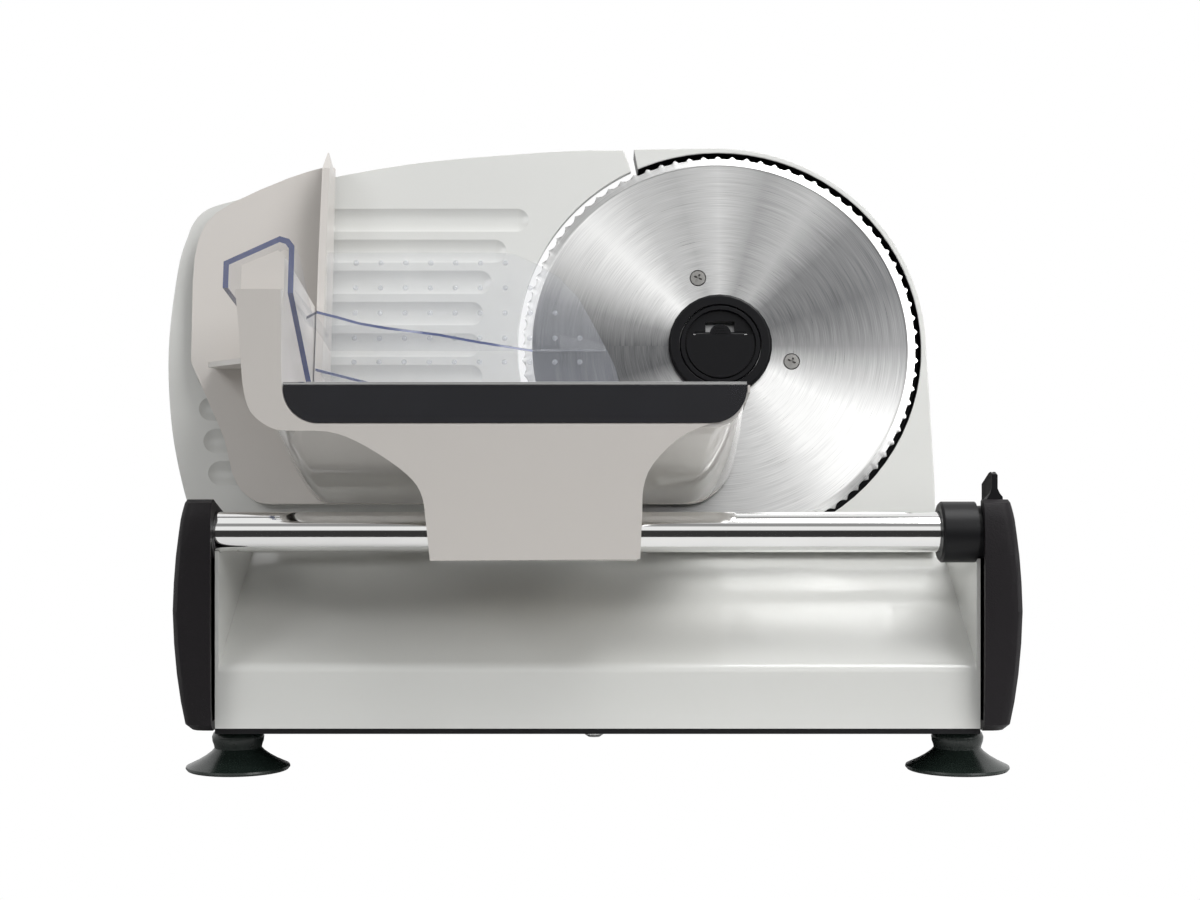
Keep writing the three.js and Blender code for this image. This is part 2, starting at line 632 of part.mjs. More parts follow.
function bladeHousing() {
  let body = solid(frontPlate(guardOutline(), HOUSING_FRONT, HOUSING_DEPTH, 28));
  body = body.subtract(solid(rod(recessRadius, HOUSING_FRONT - 1, RECESS_FLOOR, 'y', spindleAxis, 80)));
  body = aboveDeck(body);
  const boss = SPINDLE_RADIUS + BUSH_WALL + 3;
  body = body.add(solid(rod(boss, HOUSING_DEPTH - 1, BUSH_REAR, 'y', spindleAxis, 24)));
  const bore = SPINDLE_RADIUS + BUSH_WALL + PASS;
  return body.subtract(solid(rod(bore, 0, GEAR_FRONT, 'y', spindleAxis, 24)));
}
piece('blade_housing', bladeHousing(), PAINT, leaning);

function coverOutline(inset) {
  const radius = guardRadius - COVER_INSET - inset;
  const left = COVER_LEFT_X + inset;
  const right = guardRightX - COVER_INSET - inset;
  const bottom = -guardRadius - 20;
  const shape = new THREE.Shape();
  shape.moveTo(right, bottom);
  shape.lineTo(right, 0);
  shape.absarc(BLADE_X, 0, radius, 0, THREE.MathUtils.degToRad(98), false);
  shape.bezierCurveTo(left + 26, radius - 6, left, 66, left, 30);
  shape.lineTo(left, -30);
  shape.quadraticCurveTo(left, -62, HOUSING_FOOT_X + 2 + inset, -84);
  shape.lineTo(HOUSING_FOOT_X + 2 + inset, bottom);
  shape.closePath();
  return shape;
}

function motorCover() {
  const front = HOUSING_DEPTH + FIT;
  const shape = coverOutline(6);
  const bevel = { bevelEnabled: true, bevelThickness: 6, bevelSize: 6, bevelSegments: 2, curveSegments: 9 };
  const outer = new THREE.ExtrudeGeometry(shape, { depth: COVER_REAR - 12, ...bevel });
  outer.rotateX(Math.PI / 2).translate(0, COVER_REAR - 6, 0);
  let body = solid(outer);
  body = body.subtract(solid(box(-BEYOND, BEYOND, -BEYOND, front, -BEYOND, BEYOND)));
  const core = solid(frontPlate(coverOutline(COVER_WALL + 2.6), front - 1, COVER_REAR - COVER_WALL, 9));
  body = aboveDeck(body.subtract(core));
  for (let i = 0; i < VENT_SLOTS; i += 1) {
    const z = -34 - i * VENT_PITCH * 0.8;
    const slot = box(BLADE_X + 22, BLADE_X + 74, COVER_REAR - 8, COVER_REAR + 1, z - 1.6, z + 1.6);
    body = body.subtract(solid(slot));
  }
  const opening = [
    SWITCH_X - SWITCH_WIDTH / 2, SWITCH_X + SWITCH_WIDTH / 2, COVER_REAR - 20, COVER_REAR + 1,
    SWITCH_Z - SWITCH_HEIGHT / 2, SWITCH_Z + SWITCH_HEIGHT / 2,
  ];
  return body.subtract(solid(box(...opening)));
}
piece('motor_cover', motorCover(), PAINT, leaning);

// Blade: scalloped rim, a ground bevel and a flat disc
function bladeRing(scale, y, toothed) {
  const ring = [];
  const steps = BLADE_TEETH * 2;
  for (let i = 0; i < steps; i += 1) {
    const turn = (i / steps) * 2 * Math.PI;
    const depth = toothed && i % 2 ? TOOTH_DEPTH : 0;
    const radius = scale - depth;
    ring.push([BLADE_X + radius * Math.cos(turn), y, radius * Math.sin(turn)]);
  }
  return ring;
}

function blade() {
  const inner = BLADE_RADIUS - BEVEL_WIDTH;
  let body = solid(loft([
    bladeRing(inner, 0, false), bladeRing(BLADE_RADIUS, BLADE_THICKNESS - 0.4, true),
    bladeRing(BLADE_RADIUS, BLADE_THICKNESS, true),
  ]));
  body = body.subtract(solid(rod(BLADE_BORE, -1, BLADE_THICKNESS + 1, 'y', spindleAxis, 30)));
  for (const angle of SCREW_ANGLES) {
    const [x, z] = polar(angle, SCREW_CIRCLE);
    body = body.subtract(solid(rod(SCREW_HEAD_RADIUS + FIT, -1, BLADE_THICKNESS + 1, 'y', [x, 0, z], 14)));
  }
  return body;
}
piece('blade', blade(), BRUSHED_STEEL, leaning);

const carrierFront = BLADE_THICKNESS + FIT;

SCREW_ANGLES.forEach((angle, i) => {
  const [x, z] = polar(angle, SCREW_CIRCLE);
  const deep = carrierFront + CARRIER_THICKNESS - 0.6;
  const profile = [
    [0, -0.2], [SCREW_HEAD_RADIUS, -0.2], [SCREW_HEAD_RADIUS, BLADE_THICKNESS - 0.2],
    [SCREW_SHANK_RADIUS, BLADE_THICKNESS], [SCREW_SHANK_RADIUS, deep], [0, deep],
  ];
  piece(`blade_screw_${i + 1}`, solid(turned(profile, 'y', [x, 0, z], 14)), STEEL, leaning);
});

function bladeCarrier() {
  let body = solid(tube(SPINDLE_RADIUS + PASS, CARRIER_RADIUS, carrierFront + 1.2, carrierFront + CARRIER_THICKNESS,
    'y', spindleAxis, 24));
  const inner = LOCK_BODY_RADIUS + 3.4;
  body = body.add(solid(tube(inner, CARRIER_RADIUS, carrierFront, carrierFront + 2, 'y', spindleAxis, 24)));
  body = body.subtract(solid(rod(LOCK_BODY_RADIUS + FIT, 0, carrierFront + 2.6, 'y', spindleAxis, 24)));
  for (const angle of SCREW_ANGLES) {
    const [x, z] = polar(angle, SCREW_CIRCLE);
    body = body.subtract(solid(rod(SCREW_SHANK_RADIUS + FIT, 0, 20, 'y', [x, 0, z], 14)));
  }
  return body;
}
piece('blade_carrier', bladeCarrier(), STEEL, leaning);

// Hub ring, lock cap and the finger flap in it
const hubProfile = [
  [LOCK_RADIUS + FIT, -FIT], [HUB_RADIUS, -FIT], [HUB_RADIUS, -HUB_PROUD + 1.2],
  [HUB_RADIUS - 1.2, -HUB_PROUD], [LOCK_RADIUS + FIT, -HUB_PROUD],
];
piece('blade_hub', solid(turned(hubProfile, 'y', spindleAxis, 30)), GLOSS_BLACK, leaning);

const capFront = -HUB_PROUD + 0.2;
const hingeY = capFront + FLAP_BARREL_RADIUS + 0.1;

function lockCap() {
  const back = carrierFront + 0.6;
  const profile = [
    [0, capFront], [LOCK_RADIUS - 0.6, capFront], [LOCK_RADIUS, capFront + 0.6], [LOCK_RADIUS, -FIT],
    [LOCK_BODY_RADIUS, -FIT], [LOCK_BODY_RADIUS, back], [0, back],
  ];
  let body = solid(turned(profile, 'y', spindleAxis, 30));
  const pocketEnd = capFront + POCKET_DEPTH;
  body = body.subtract(solid(rod(POCKET_RADIUS, capFront - 1, pocketEnd, 'y', spindleAxis, 24)));
  const half = FLAP_HINGE_HALF + FIT;
  const barrel = FLAP_BARREL_RADIUS + FIT;
  const groove = [
    BLADE_X - half, BLADE_X + half, capFront - 1, hingeY + barrel, FLAP_HINGE_Z - barrel, FLAP_HINGE_Z + barrel,
  ];
  body = body.subtract(solid(box(...groove)));
  const well = FLAP_TAB_RADIUS + FLAP_THICKNESS;
  const wellBox = [
    BLADE_X - well, BLADE_X + well, capFront - 1, hingeY + well - 0.6, FLAP_HINGE_Z - barrel, FLAP_HINGE_Z + well,
  ];
  body = body.subtract(solid(box(...wellBox)));
  const pinHalf = FLAP_HINGE_HALF + 1.3;
  const pinHole = rod(FLAP_PIN_RADIUS + PASS, -pinHalf, pinHalf, 'x', [BLADE_X, hingeY, FLAP_HINGE_Z], 16);
  return body.subtract(solid(pinHole));
}
piece('lock_cap', lockCap(), GLOSS_BLACK, leaning);

function lockFlap() {
  const radius = POCKET_RADIUS - 3 * FIT;
  const front = capFront + 0.1;
  const chord = Math.asin(FLAP_HINGE_Z / radius);
  const moon = new THREE.Shape();
  moon.absarc(BLADE_X, 0, radius, Math.PI - chord, 2 * Math.PI + chord, false);
  moon.closePath();
  let body = solid(frontPlate(moon, front, front + FLAP_THICKNESS, 28));
  const tab = new THREE.Shape();
  tab.absarc(BLADE_X, FLAP_HINGE_Z, FLAP_TAB_RADIUS, 0, Math.PI, false);
  tab.closePath();
  body = body.add(solid(frontPlate(tab, front, front + FLAP_THICKNESS, 12)));
  for (let i = 0; i < 3; i += 1) {
    const half = FLAP_TAB_RADIUS - 1.6 - i * 0.7;
    const z = FLAP_HINGE_Z + 0.6 + i * 1.3;
    body = body.add(solid(box(BLADE_X - half, BLADE_X + half, front - 0.3, front + 0.5, z, z + 0.6)));
  }
  const at = [BLADE_X, hingeY, FLAP_HINGE_Z];
  body = body.add(solid(rod(FLAP_BARREL_RADIUS, -FLAP_HINGE_HALF, FLAP_HINGE_HALF, 'x', at, 16)));
  return body.subtract(solid(rod(FLAP_PIN_RADIUS + PASS, -20, 20, 'x', at, 16)));
}
piece('lock_flap', lockFlap(), GLOSS_BLACK, leaning);
const pinReach = FLAP_HINGE_HALF + 1.2;
const flapPin = rod(FLAP_PIN_RADIUS, -pinReach, pinReach, 'x', [BLADE_X, hingeY, FLAP_HINGE_Z], 16);
piece('flap_pin', solid(flapPin), STEEL, leaning);

// Spindle and its bushes
const spindleFront = carrierFront + 2.9;
const spindleProfile = [
  [0, spindleFront], [SPINDLE_RADIUS - 0.8, spindleFront], [SPINDLE_RADIUS, spindleFront + 0.8],
  [SPINDLE_RADIUS, SPINDLE_REAR], [0, SPINDLE_REAR],
];
piece('spindle', solid(turned(spindleProfile, 'y', spindleAxis, 24)), STEEL, leaning);
const bushOuter = SPINDLE_RADIUS + BUSH_WALL;
const bushBore = SPINDLE_RADIUS + PASS;
const frontBush = tube(bushBore, bushOuter, RECESS_FLOOR, BUSH_REAR, 'y', spindleAxis, 24);
piece('spindle_bush_front', solid(frontBush), BRASS, leaning);
const gearRear = GEAR_FRONT + GEAR_WIDTH;
const rearBush = tube(bushBore, bushOuter, gearRear + 2, SPINDLE_REAR - 4, 'y', spindleAxis, 24);
piece('spindle_bush_rear', solid(rearBush), BRASS, leaning);

// Drive gear with straight teeth, and the worm that turns it
const toothPitch = 2 * Math.PI * GEAR_PITCH_RADIUS / GEAR_TEETH;
const wormX = BLADE_X + GEAR_PITCH_RADIUS + WORM_PITCH_RADIUS;
const wormY = GEAR_FRONT + GEAR_WIDTH / 2;

function gearOutline() {
  const ring = [];
  const tip = GEAR_PITCH_RADIUS + THREAD_HEIGHT / 2 - 0.4;
  const root = GEAR_PITCH_RADIUS - THREAD_HEIGHT / 2 - 0.4;
  for (let i = 0; i < GEAR_TEETH; i += 1) {
    for (const [share, radius] of [[-0.22, root], [-0.06, tip], [0.06, tip], [0.22, root]]) {
      const turn = ((i + share) / GEAR_TEETH) * 2 * Math.PI;
      ring.push([BLADE_X + radius * Math.cos(turn), radius * Math.sin(turn)]);
    }
  }
  return outline(ring);
}

function driveGear() {
  let body = solid(frontPlate(gearOutline(), GEAR_FRONT, gearRear));
  const dish = tube(GEAR_BORE + 6, GEAR_PITCH_RADIUS - 8, gearRear - 3, gearRear + 1, 'y', spindleAxis, 24);
  body = body.subtract(solid(dish));
  return body.subtract(solid(rod(SPINDLE_RADIUS + PASS, 0, 90, 'y', spindleAxis, 24)));
}
piece('drive_gear', driveGear(), NYLON, leaning);

// Armature: shaft, core, commutator and a single-start worm cut on its upper end
function wormRing(z) {
  const ring = [];
  const sides = 12;
  for (let i = 0; i < sides; i += 1) {
    const turn = (i / sides) * 2 * Math.PI;
    const phase = (((z / toothPitch - i / sides) % 1) + 1) % 1;
    const away = Math.abs(phase - 0.5);
    const rise = THREE.MathUtils.clamp((away - 0.26) / 0.14, 0, 1);
    const radius = WORM_PITCH_RADIUS + THREAD_HEIGHT * (rise - 0.5) - 0.3 - (rise < 1 ? 0 : 0.1);
    ring.push([wormX + radius * Math.cos(turn), wormY + radius * Math.sin(turn), z]);
  }
  return ring;
}

const motorBottom = MOTOR_TOP - MOTOR_LENGTH;
const wormEnd = WORM_LENGTH / 2;
const shaftTop = wormEnd + 12;

function armature() {
  const rings = [];
  const steps = 24;
  for (let i = 0; i <= steps; i += 1) rings.push(wormRing(-wormEnd + (WORM_LENGTH * i) / steps));
  const centre = [wormX, wormY, 0];
  const profile = [
    [0, motorBottom + MOTOR_WALL], [MOTOR_SHAFT_RADIUS, motorBottom + MOTOR_WALL],
    [MOTOR_SHAFT_RADIUS, motorBottom + FAN_SPACE], [ARMATURE_RADIUS, motorBottom + FAN_SPACE],
    [ARMATURE_RADIUS, motorBottom + FAN_SPACE + ARMATURE_LENGTH],
    [COMMUTATOR_RADIUS, motorBottom + FAN_SPACE + ARMATURE_LENGTH + 1], [COMMUTATOR_RADIUS, MOTOR_TOP - 6],
    [MOTOR_SHAFT_RADIUS, MOTOR_TOP - 6], [MOTOR_SHAFT_RADIUS, shaftTop], [0, shaftTop],
  ];
  return solid(turned(profile, 'z', centre, 16)).add(solid(loft(rings)));
}
piece('armature', armature(), STEEL, leaning);

function motorFan() {
  const z0 = motorBottom + 5;
  const centre = [wormX, wormY, 0];
  let body = solid(tube(MOTOR_SHAFT_RADIUS + PASS, 6, z0, z0 + 9, 'z', centre, 20));
  body = body.add(solid(tube(MOTOR_SHAFT_RADIUS + PASS, FAN_RADIUS, z0, z0 + 1.4, 'z', centre, 24)));
  for (let i = 0; i < FAN_BLADES; i += 1) {
    const vane = new THREE.BoxGeometry(FAN_RADIUS - 6, 1.4, 8);
    vane.translate((FAN_RADIUS + 4) / 2, 0, z0 + 4.6).rotateZ((i / FAN_BLADES) * 2 * Math.PI);
    body = body.add(solid(vane.translate(...centre)));
  }
  return body;
}
piece('motor_fan', motorFan(), BLACK_PLASTIC, leaning);

const motorAxis = [wormX, wormY, 0];
function motorCan() {
  const inner = MOTOR_RADIUS - MOTOR_WALL;
  const profile = [
    [MOTOR_SHAFT_RADIUS + PASS, motorBottom - 2], [MOTOR_SHAFT_RADIUS + 4, motorBottom - 2],
    [MOTOR_SHAFT_RADIUS + 4, motorBottom], [MOTOR_RADIUS - 2, motorBottom], [MOTOR_RADIUS, motorBottom + 2],
    [MOTOR_RADIUS, MOTOR_TOP - FIT], [inner, MOTOR_TOP - FIT], [inner, motorBottom + MOTOR_WALL],
    [MOTOR_SHAFT_RADIUS + PASS, motorBottom + MOTOR_WALL],
  ];
  return solid(turned(profile, 'z', motorAxis, 20));
}
piece('motor_can', motorCan(), STEEL, leaning);

// Gear housing: a bowl round the gear with a tunnel for the worm, closed by a plate in front
const bowlInner = GEAR_PITCH_RADIUS + THREAD_HEIGHT / 2 + GEAR_HOUSING_CLEARANCE;
const bowlOuter = bowlInner + GEAR_HOUSING_WALL;
const tunnelInner = WORM_PITCH_RADIUS + THREAD_HEIGHT / 2 + 1.2;
const tunnelOuter = tunnelInner + GEAR_HOUSING_WALL;
const bowlFront = wormY - tunnelOuter - PASS;
const bowlFloor = gearRear + 2;

function gearHousing() {
  const rear = bowlFloor + GEAR_HOUSING_WALL;
  let body = solid(rod(bowlOuter, bowlFront, rear, 'y', spindleAxis, 30));
  body = body.add(solid(rod(tunnelOuter, MOTOR_TOP + 3, wormEnd + 8, 'z', motorAxis, 24)));
  body = body.add(solid(rod(MOTOR_RADIUS - 3, MOTOR_TOP, MOTOR_TOP + 3.4, 'z', motorAxis, 32)));
  body = body.add(solid(rod(bushOuter + 3, rear - 1, SPINDLE_REAR - 4, 'y', spindleAxis, 24)));
  body = body.subtract(solid(rod(bowlInner, bowlFront - 20, bowlFloor, 'y', spindleAxis, 30)));
  body = body.subtract(solid(rod(tunnelInner, MOTOR_TOP + 6, wormEnd + 3, 'z', motorAxis, 24)));
  const shaftBore = MOTOR_SHAFT_RADIUS + PASS;
  body = body.subtract(solid(rod(shaftBore, MOTOR_TOP - 1, wormEnd + 20, 'z', motorAxis, 20)));
  return body.subtract(solid(rod(bushOuter + PASS, gearRear + 1, SPINDLE_REAR, 'y', spindleAxis, 24)));
}
piece('gear_housing', gearHousing(), STEEL, leaning);

function gearHousingPlate() {
  const back = bowlFront - FIT;
  let body = solid(rod(bowlOuter, back - GEAR_HOUSING_WALL, back, 'y', spindleAxis, 30));
  body = body.add(solid(rod(bushOuter + 6, BUSH_REAR + FIT, back, 'y', spindleAxis, 24)));
  return body.subtract(solid(rod(SPINDLE_RADIUS + PASS, 0, 90, 'y', spindleAxis, 24)));
}
piece('gear_housing_plate', gearHousingPlate(), STEEL, leaning);

// Gauge plate: concave round the blade, with long flutes across its face
const gaugeEdge = [
  ...smooth([
    [-190, gaugeBottom + 12], [-194.4, -73.6], [-202.2, -40.9], [-205.6, -2], [-202.4, 37.5], [-198.2, 54.6],
    [-195.4, 61.6], [-191.4, 66.4], [-186, 69.4], [-178, 71.8], [-149.6, 79.6], [-91.5, 90.8], [-33.1, 96.4],
    [-3.9, 97.9],
  ], 2),
  polar(115.02, gaugeArcRadius + GAUGE_TIP), polar(115.37, gaugeArcRadius + 0.4 * GAUGE_TIP),
];

function gaugeOutline() {
  const shape = outline(gaugeEdge);
  const start = THREE.MathUtils.degToRad(115.94);
  const end = Math.PI + Math.asin(-gaugeBottom / gaugeArcRadius);
  shape.absarc(BLADE_X, 0, gaugeArcRadius, start, end, false);
  shape.lineTo(-158, gaugeBottom);
  shape.closePath();
  return shape;
}

function leftEdgeAt(z) {
  for (let i = 0; i + 1 < gaugeEdge.length; i += 1) {
    const [[x0, z0], [x1, z1]] = [gaugeEdge[i], gaugeEdge[i + 1]];
    if (z >= z0 && z <= z1) return x0 + ((x1 - x0) * (z - z0)) / (z1 - z0);
  }
  return gaugeEdge[0][0];
}

function gaugePlate() {
  let body = solid(frontPlate(gaugeOutline(), 0, GAUGE_THICKNESS, 32));
  for (let i = 0; i < FLUTE_COUNT; i += 1) {
    const z = FLUTE_TOP - i * FLUTE_PITCH;
    const left = leftEdgeAt(z) + FLUTE_LEFT_INSET;
    const chord = Math.sqrt(Math.max(gaugeArcRadius ** 2 - z ** 2, 0));
    const right = BLADE_X - chord - FLUTE_RIGHT_INSET;
    const half = FLUTE_PITCH * 0.42;
    const flute = outline([
      [left, z], [left + half, z + half], [right - half, z + half],
      [right, z], [right - half, z - half], [left + half, z - half],
    ]);
    body = body.subtract(solid(frontPlate(flute, -1, FLUTE_HEIGHT)));
  }
  return body;
}
piece('gauge_plate', gaugePlate(), PAINT, leaning);

// Gauge guide: block and posts that move with the plate, support on the deck, cam shaft and knob
const blockFront = GAUGE_THICKNESS + FIT;
const blockRear = blockFront + GAUGE_BLOCK_DEPTH;
const supportFront = blockRear + GAUGE_TRAVEL + 1.6;
const supportRear = supportFront + SUPPORT_DEPTH;
const postXs = [GAUGE_GUIDE_X - POST_SPREAD, GAUGE_GUIDE_X + POST_SPREAD];
const camFront = GAUGE_THICKNESS + GAUGE_TRAVEL + 2 * FIT;
const followerY = camFront + FOLLOWER_RADIUS + FIT;

const followerAt = [GAUGE_GUIDE_X, followerY, 0];

function gaugeBlock() {
  const half = POST_SPREAD + POST_RADIUS + 6;
  let body = solid(box(
    GAUGE_GUIDE_X - half, GAUGE_GUIDE_X + half, blockFront, blockRear, GAUGE_GUIDE_Z - 12, GAUGE_GUIDE_Z + 14,
  ));
  for (const x of postXs) {
    body = body.subtract(solid(rod(POST_RADIUS + PASS, 0, 90, 'y', [x, 0, GAUGE_GUIDE_Z], 20)));
  }
  const cam = [GAUGE_GUIDE_X, 0, GAUGE_GUIDE_Z];
  body = body.subtract(solid(rod(CAM_RADIUS + FIT, 0, 90, 'y', cam, 24)));
  const hole = rod(FOLLOWER_RADIUS + PASS, GAUGE_GUIDE_Z + CAM_RADIUS - 1, 90, 'z', followerAt, 12);
  return body.subtract(solid(hole));
}
piece('gauge_block', gaugeBlock(), NYLON, leaning);
const followerTip = GAUGE_GUIDE_Z + CAM_RADIUS + FIT;
const followerPin = rod(FOLLOWER_RADIUS, followerTip, GAUGE_GUIDE_Z + 14, 'z', followerAt, 12);
piece('cam_follower_pin', solid(followerPin), STEEL, leaning);
postXs.forEach((x, i) => {
  const post = rod(POST_RADIUS, blockFront, supportRear, 'y', [x, 0, GAUGE_GUIDE_Z], 20);
  piece(`gauge_post_${i ? 'right' : 'left'}`, solid(post), STEEL, leaning);
});

function gaugeSupport() {
  const half = POST_SPREAD + POST_RADIUS + 5;
  const bottom = -guardRadius - 20;
  const top = GAUGE_GUIDE_Z + 12;
  const shape = outline([
    [GAUGE_GUIDE_X - half - 6, bottom], [GAUGE_GUIDE_X + half + 6, bottom], [GAUGE_GUIDE_X + half, top - 8],
    [GAUGE_GUIDE_X + half - 8, top], [GAUGE_GUIDE_X - half + 8, top], [GAUGE_GUIDE_X - half, top - 8],
  ]);
  let body = aboveDeck(solid(frontPlate(shape, supportFront, supportRear)));
  for (const x of postXs) {
    const socket = rod(POST_RADIUS + PASS, supportFront - 1, supportRear + 1, 'y', [x, 0, GAUGE_GUIDE_Z], 20);
    body = body.subtract(solid(socket));
  }
  const guideAxis = [GAUGE_GUIDE_X, 0, GAUGE_GUIDE_Z];
  const bore = rod(CAM_SHAFT_RADIUS + FIT, supportFront - 1, supportRear + 1, 'y', guideAxis, 24);
  return body.subtract(solid(bore));
}
piece('gauge_support', gaugeSupport(), PAINT, leaning);

const knobFront = supportRear + FIT;
const knobRear = knobFront + KNOB_DEPTH;
const camProfile = [
  [0, camFront], [CAM_RADIUS, camFront], [CAM_RADIUS, supportFront - FIT],
  [CAM_SHAFT_RADIUS, supportFront - FIT], [CAM_SHAFT_RADIUS, knobRear - 4], [0, knobRear - 4],
];
const knobAxis = [GAUGE_GUIDE_X, 0, GAUGE_GUIDE_Z];
piece('thickness_cam_shaft', solid(turned(camProfile, 'y', knobAxis, 24)), NYLON, leaning);

function thicknessKnob() {
  const skirt = KNOB_RADIUS;
  const grip = KNOB_RADIUS - 5;
  const profile = [
    [0, knobFront], [skirt, knobFront], [skirt, knobFront + 3], [grip + 1, knobFront + 5],
    [grip, knobRear - 2], [grip - 2, knobRear], [0, knobRear],
  ];
  let body = solid(turned(profile, 'y', knobAxis, 24));
  for (let i = 0; i < KNOB_GRIPS; i += 1) {
    const turn = (i / KNOB_GRIPS) * 2 * Math.PI;
    const reach = grip + 0.6;
    const at = [GAUGE_GUIDE_X + reach * Math.cos(turn), 0, GAUGE_GUIDE_Z + reach * Math.sin(turn)];
    body = body.subtract(solid(rod(1.5, knobFront + 5.4, knobRear + 1, 'y', at, 6)));
  }
  return body.subtract(solid(rod(CAM_SHAFT_RADIUS + PASS, 0, knobRear - 3.8, 'y', knobAxis, 24)));
}
piece('thickness_knob', thicknessKnob(), BLACK_PLASTIC, leaning);

// Power switch on the cover's rear face
function switchBody() {
  const half = [SWITCH_WIDTH / 2, SWITCH_HEIGHT / 2];
  const rim = 1.6;
  let body = solid(box(
    SWITCH_X - half[0] + FIT, SWITCH_X + half[0] - FIT, COVER_REAR - 14, COVER_REAR + 1.4,
    SWITCH_Z - half[1] + FIT, SWITCH_Z + half[1] - FIT,
  ));
  body = body.add(solid(box(
    SWITCH_X - half[0] - rim, SWITCH_X + half[0] + rim, COVER_REAR + FIT, COVER_REAR + 1.4,
    SWITCH_Z - half[1] - rim, SWITCH_Z + half[1] + rim,
  )));
  return body.subtract(solid(box(
    SWITCH_X - half[0] + 1.4, SWITCH_X + half[0] - 1.4, COVER_REAR - 9, COVER_REAR + 2,
    SWITCH_Z - half[1] + 1.4, SWITCH_Z + half[1] - 1.4,
  )));
}
piece('switch_body', switchBody(), BLACK_PLASTIC, leaning);

function switchRocker() {
  const half = [SWITCH_WIDTH / 2 - 1.8, SWITCH_HEIGHT / 2 - 2.2];
  const front = COVER_REAR - 6;
  const shape = outline([
    [front, SWITCH_Z - half[1] + 3], [front, SWITCH_Z + half[1] - 3], [COVER_REAR - 1, SWITCH_Z + half[1]],
    [COVER_REAR + ROCKER_PROUD - 1.6, SWITCH_Z + half[1]], [COVER_REAR + 1.6, SWITCH_Z],
    [COVER_REAR + ROCKER_PROUD - 1.6, SWITCH_Z - half[1]], [COVER_REAR - 1, SWITCH_Z - half[1]],
  ]);
  const pivot = [COVER_REAR - 2, SWITCH_Z];
  const rocker = sidePlate(shape, SWITCH_X - half[0], SWITCH_X + half[0]).translate(0, -pivot[0], -pivot[1]);
  return solid(rocker.rotateX(THREE.MathUtils.degToRad(ROCKER_TILT)).translate(0, ...pivot));
}
piece('power_rocker', switchRocker(), BLACK_PLASTIC, leaning);

// Cord inlet gland in the rear face, and the board on its standoffs
const glandProfile = [
  [3.4, BASE_REAR_Y - 6], [GLAND_RADIUS, BASE_REAR_Y - 6], [GLAND_RADIUS, BASE_REAR_Y],
  [GLAND_RADIUS + 2, BASE_REAR_Y], [GLAND_RADIUS + 1.4, BASE_REAR_Y + 2.4],
  [5, BASE_REAR_Y + 7], [3.4, BASE_REAR_Y + 7],
];
piece('cord_gland', solid(turned(glandProfile, 'y', [GLAND_X, 0, GLAND_Z], 24)), BLACK_PLASTIC);

function rectifierBoard() {
  const z = PLATE_TOP_Z + STANDOFF;
  const [halfX, halfY] = [BOARD_WIDTH / 2, BOARD_LENGTH / 2];
  const sides = [BOARD_X - halfX, BOARD_X + halfX, BOARD_Y - halfY, BOARD_Y + halfY];
  let body = solid(box(...sides, z, z + BOARD_THICKNESS));
  const top = z + BOARD_THICKNESS;
  body = body.add(solid(box(BOARD_X - 22, BOARD_X - 4, BOARD_Y - 8, BOARD_Y + 8, top - 0.5, top + 9)));
  body = body.add(solid(rod(5, top - 0.5, top + 12, 'z', [BOARD_X + 12, BOARD_Y + 4, 0], 20)));
  return body;
}
piece('rectifier_board', rectifierBoard(), BOARD_GREEN);

// Carriage: one moulding. The front wall stands upright, the floor and the back lean with the blade
const frontEdge = [
  [-149.6, 207.5],
  ...smooth([
    [-148, 188.6], [-146.8, 170], [-144.7, 159.6], [-141, 154.2], [-134.7, 150.1], [-128, 149],
    [-111.6, 148.6], [-99.6, 144.6], [-85.9, 136.4], [-76.4, 128.6], [-72.4, 121.4], [-71, 112], [-69.2, 95.3],
  ]),
  ...smooth([
    [17.6, 95.9], [18.4, 114.9], [19, 125.7], [22.9, 135.2], [33.7, 146], [44, 151], [54, 155], [60.6, 163],
  ]),
  [60.6, 165.6], [-130.6, 165.6], [-130.8, 207.5],
];

function apronOutline(grow) {
  const [left, right] = [TRAY_LEFT_X - grow, TRAY_RIGHT_X + grow];
  const [bottom, top] = [TRAY_APRON_BOTTOM_Z - grow, TRAY_APRON_TOP_Z];
  const radius = TRAY_CORNER + grow;
  const shape = new THREE.Shape();
  shape.moveTo(left, top);
  shape.lineTo(left, bottom + radius);
  shape.absarc(left + radius, bottom + radius, radius, Math.PI, 1.5 * Math.PI, false);
  shape.lineTo(right - radius, bottom);
  shape.absarc(right - radius, bottom + radius, radius, -Math.PI / 2, 0, false);
  shape.lineTo(right, top);
  shape.closePath();
  return shape;
}

const shellEdge = [
  ...smooth([
    [-132.6, 86.1], [-148.3, 81.1], [-175.4, 68.6], [-188, 58.1], [-192.7, 41.2], [-193, 16], [-192.6, -9.7],
  ], 2),
  ...smooth([
    [-181.4, -33.8], [-175.3, -47.7], [-171.5, -62.5], [-166.6, -71.5], [-159.4, -76.7], [-152.3, -77.6],
  ], 2),
  ...smooth([[42.6, -77.4], [48.7, -76.2], [56.2, -71], [61, -63.4], [65, -46]], 2),
];

// Hull under the tray: stations of [along the spindle, bottom, right side], shallow in front and deep behind
const hullStations = [
  [-116, -61.5, 61], [-96, -66, 61.8], [-70, -70.6, 62.6], [-40, -74.8, 63.4], [SHELL_REAR - 1.5, -77.4, 64],
];

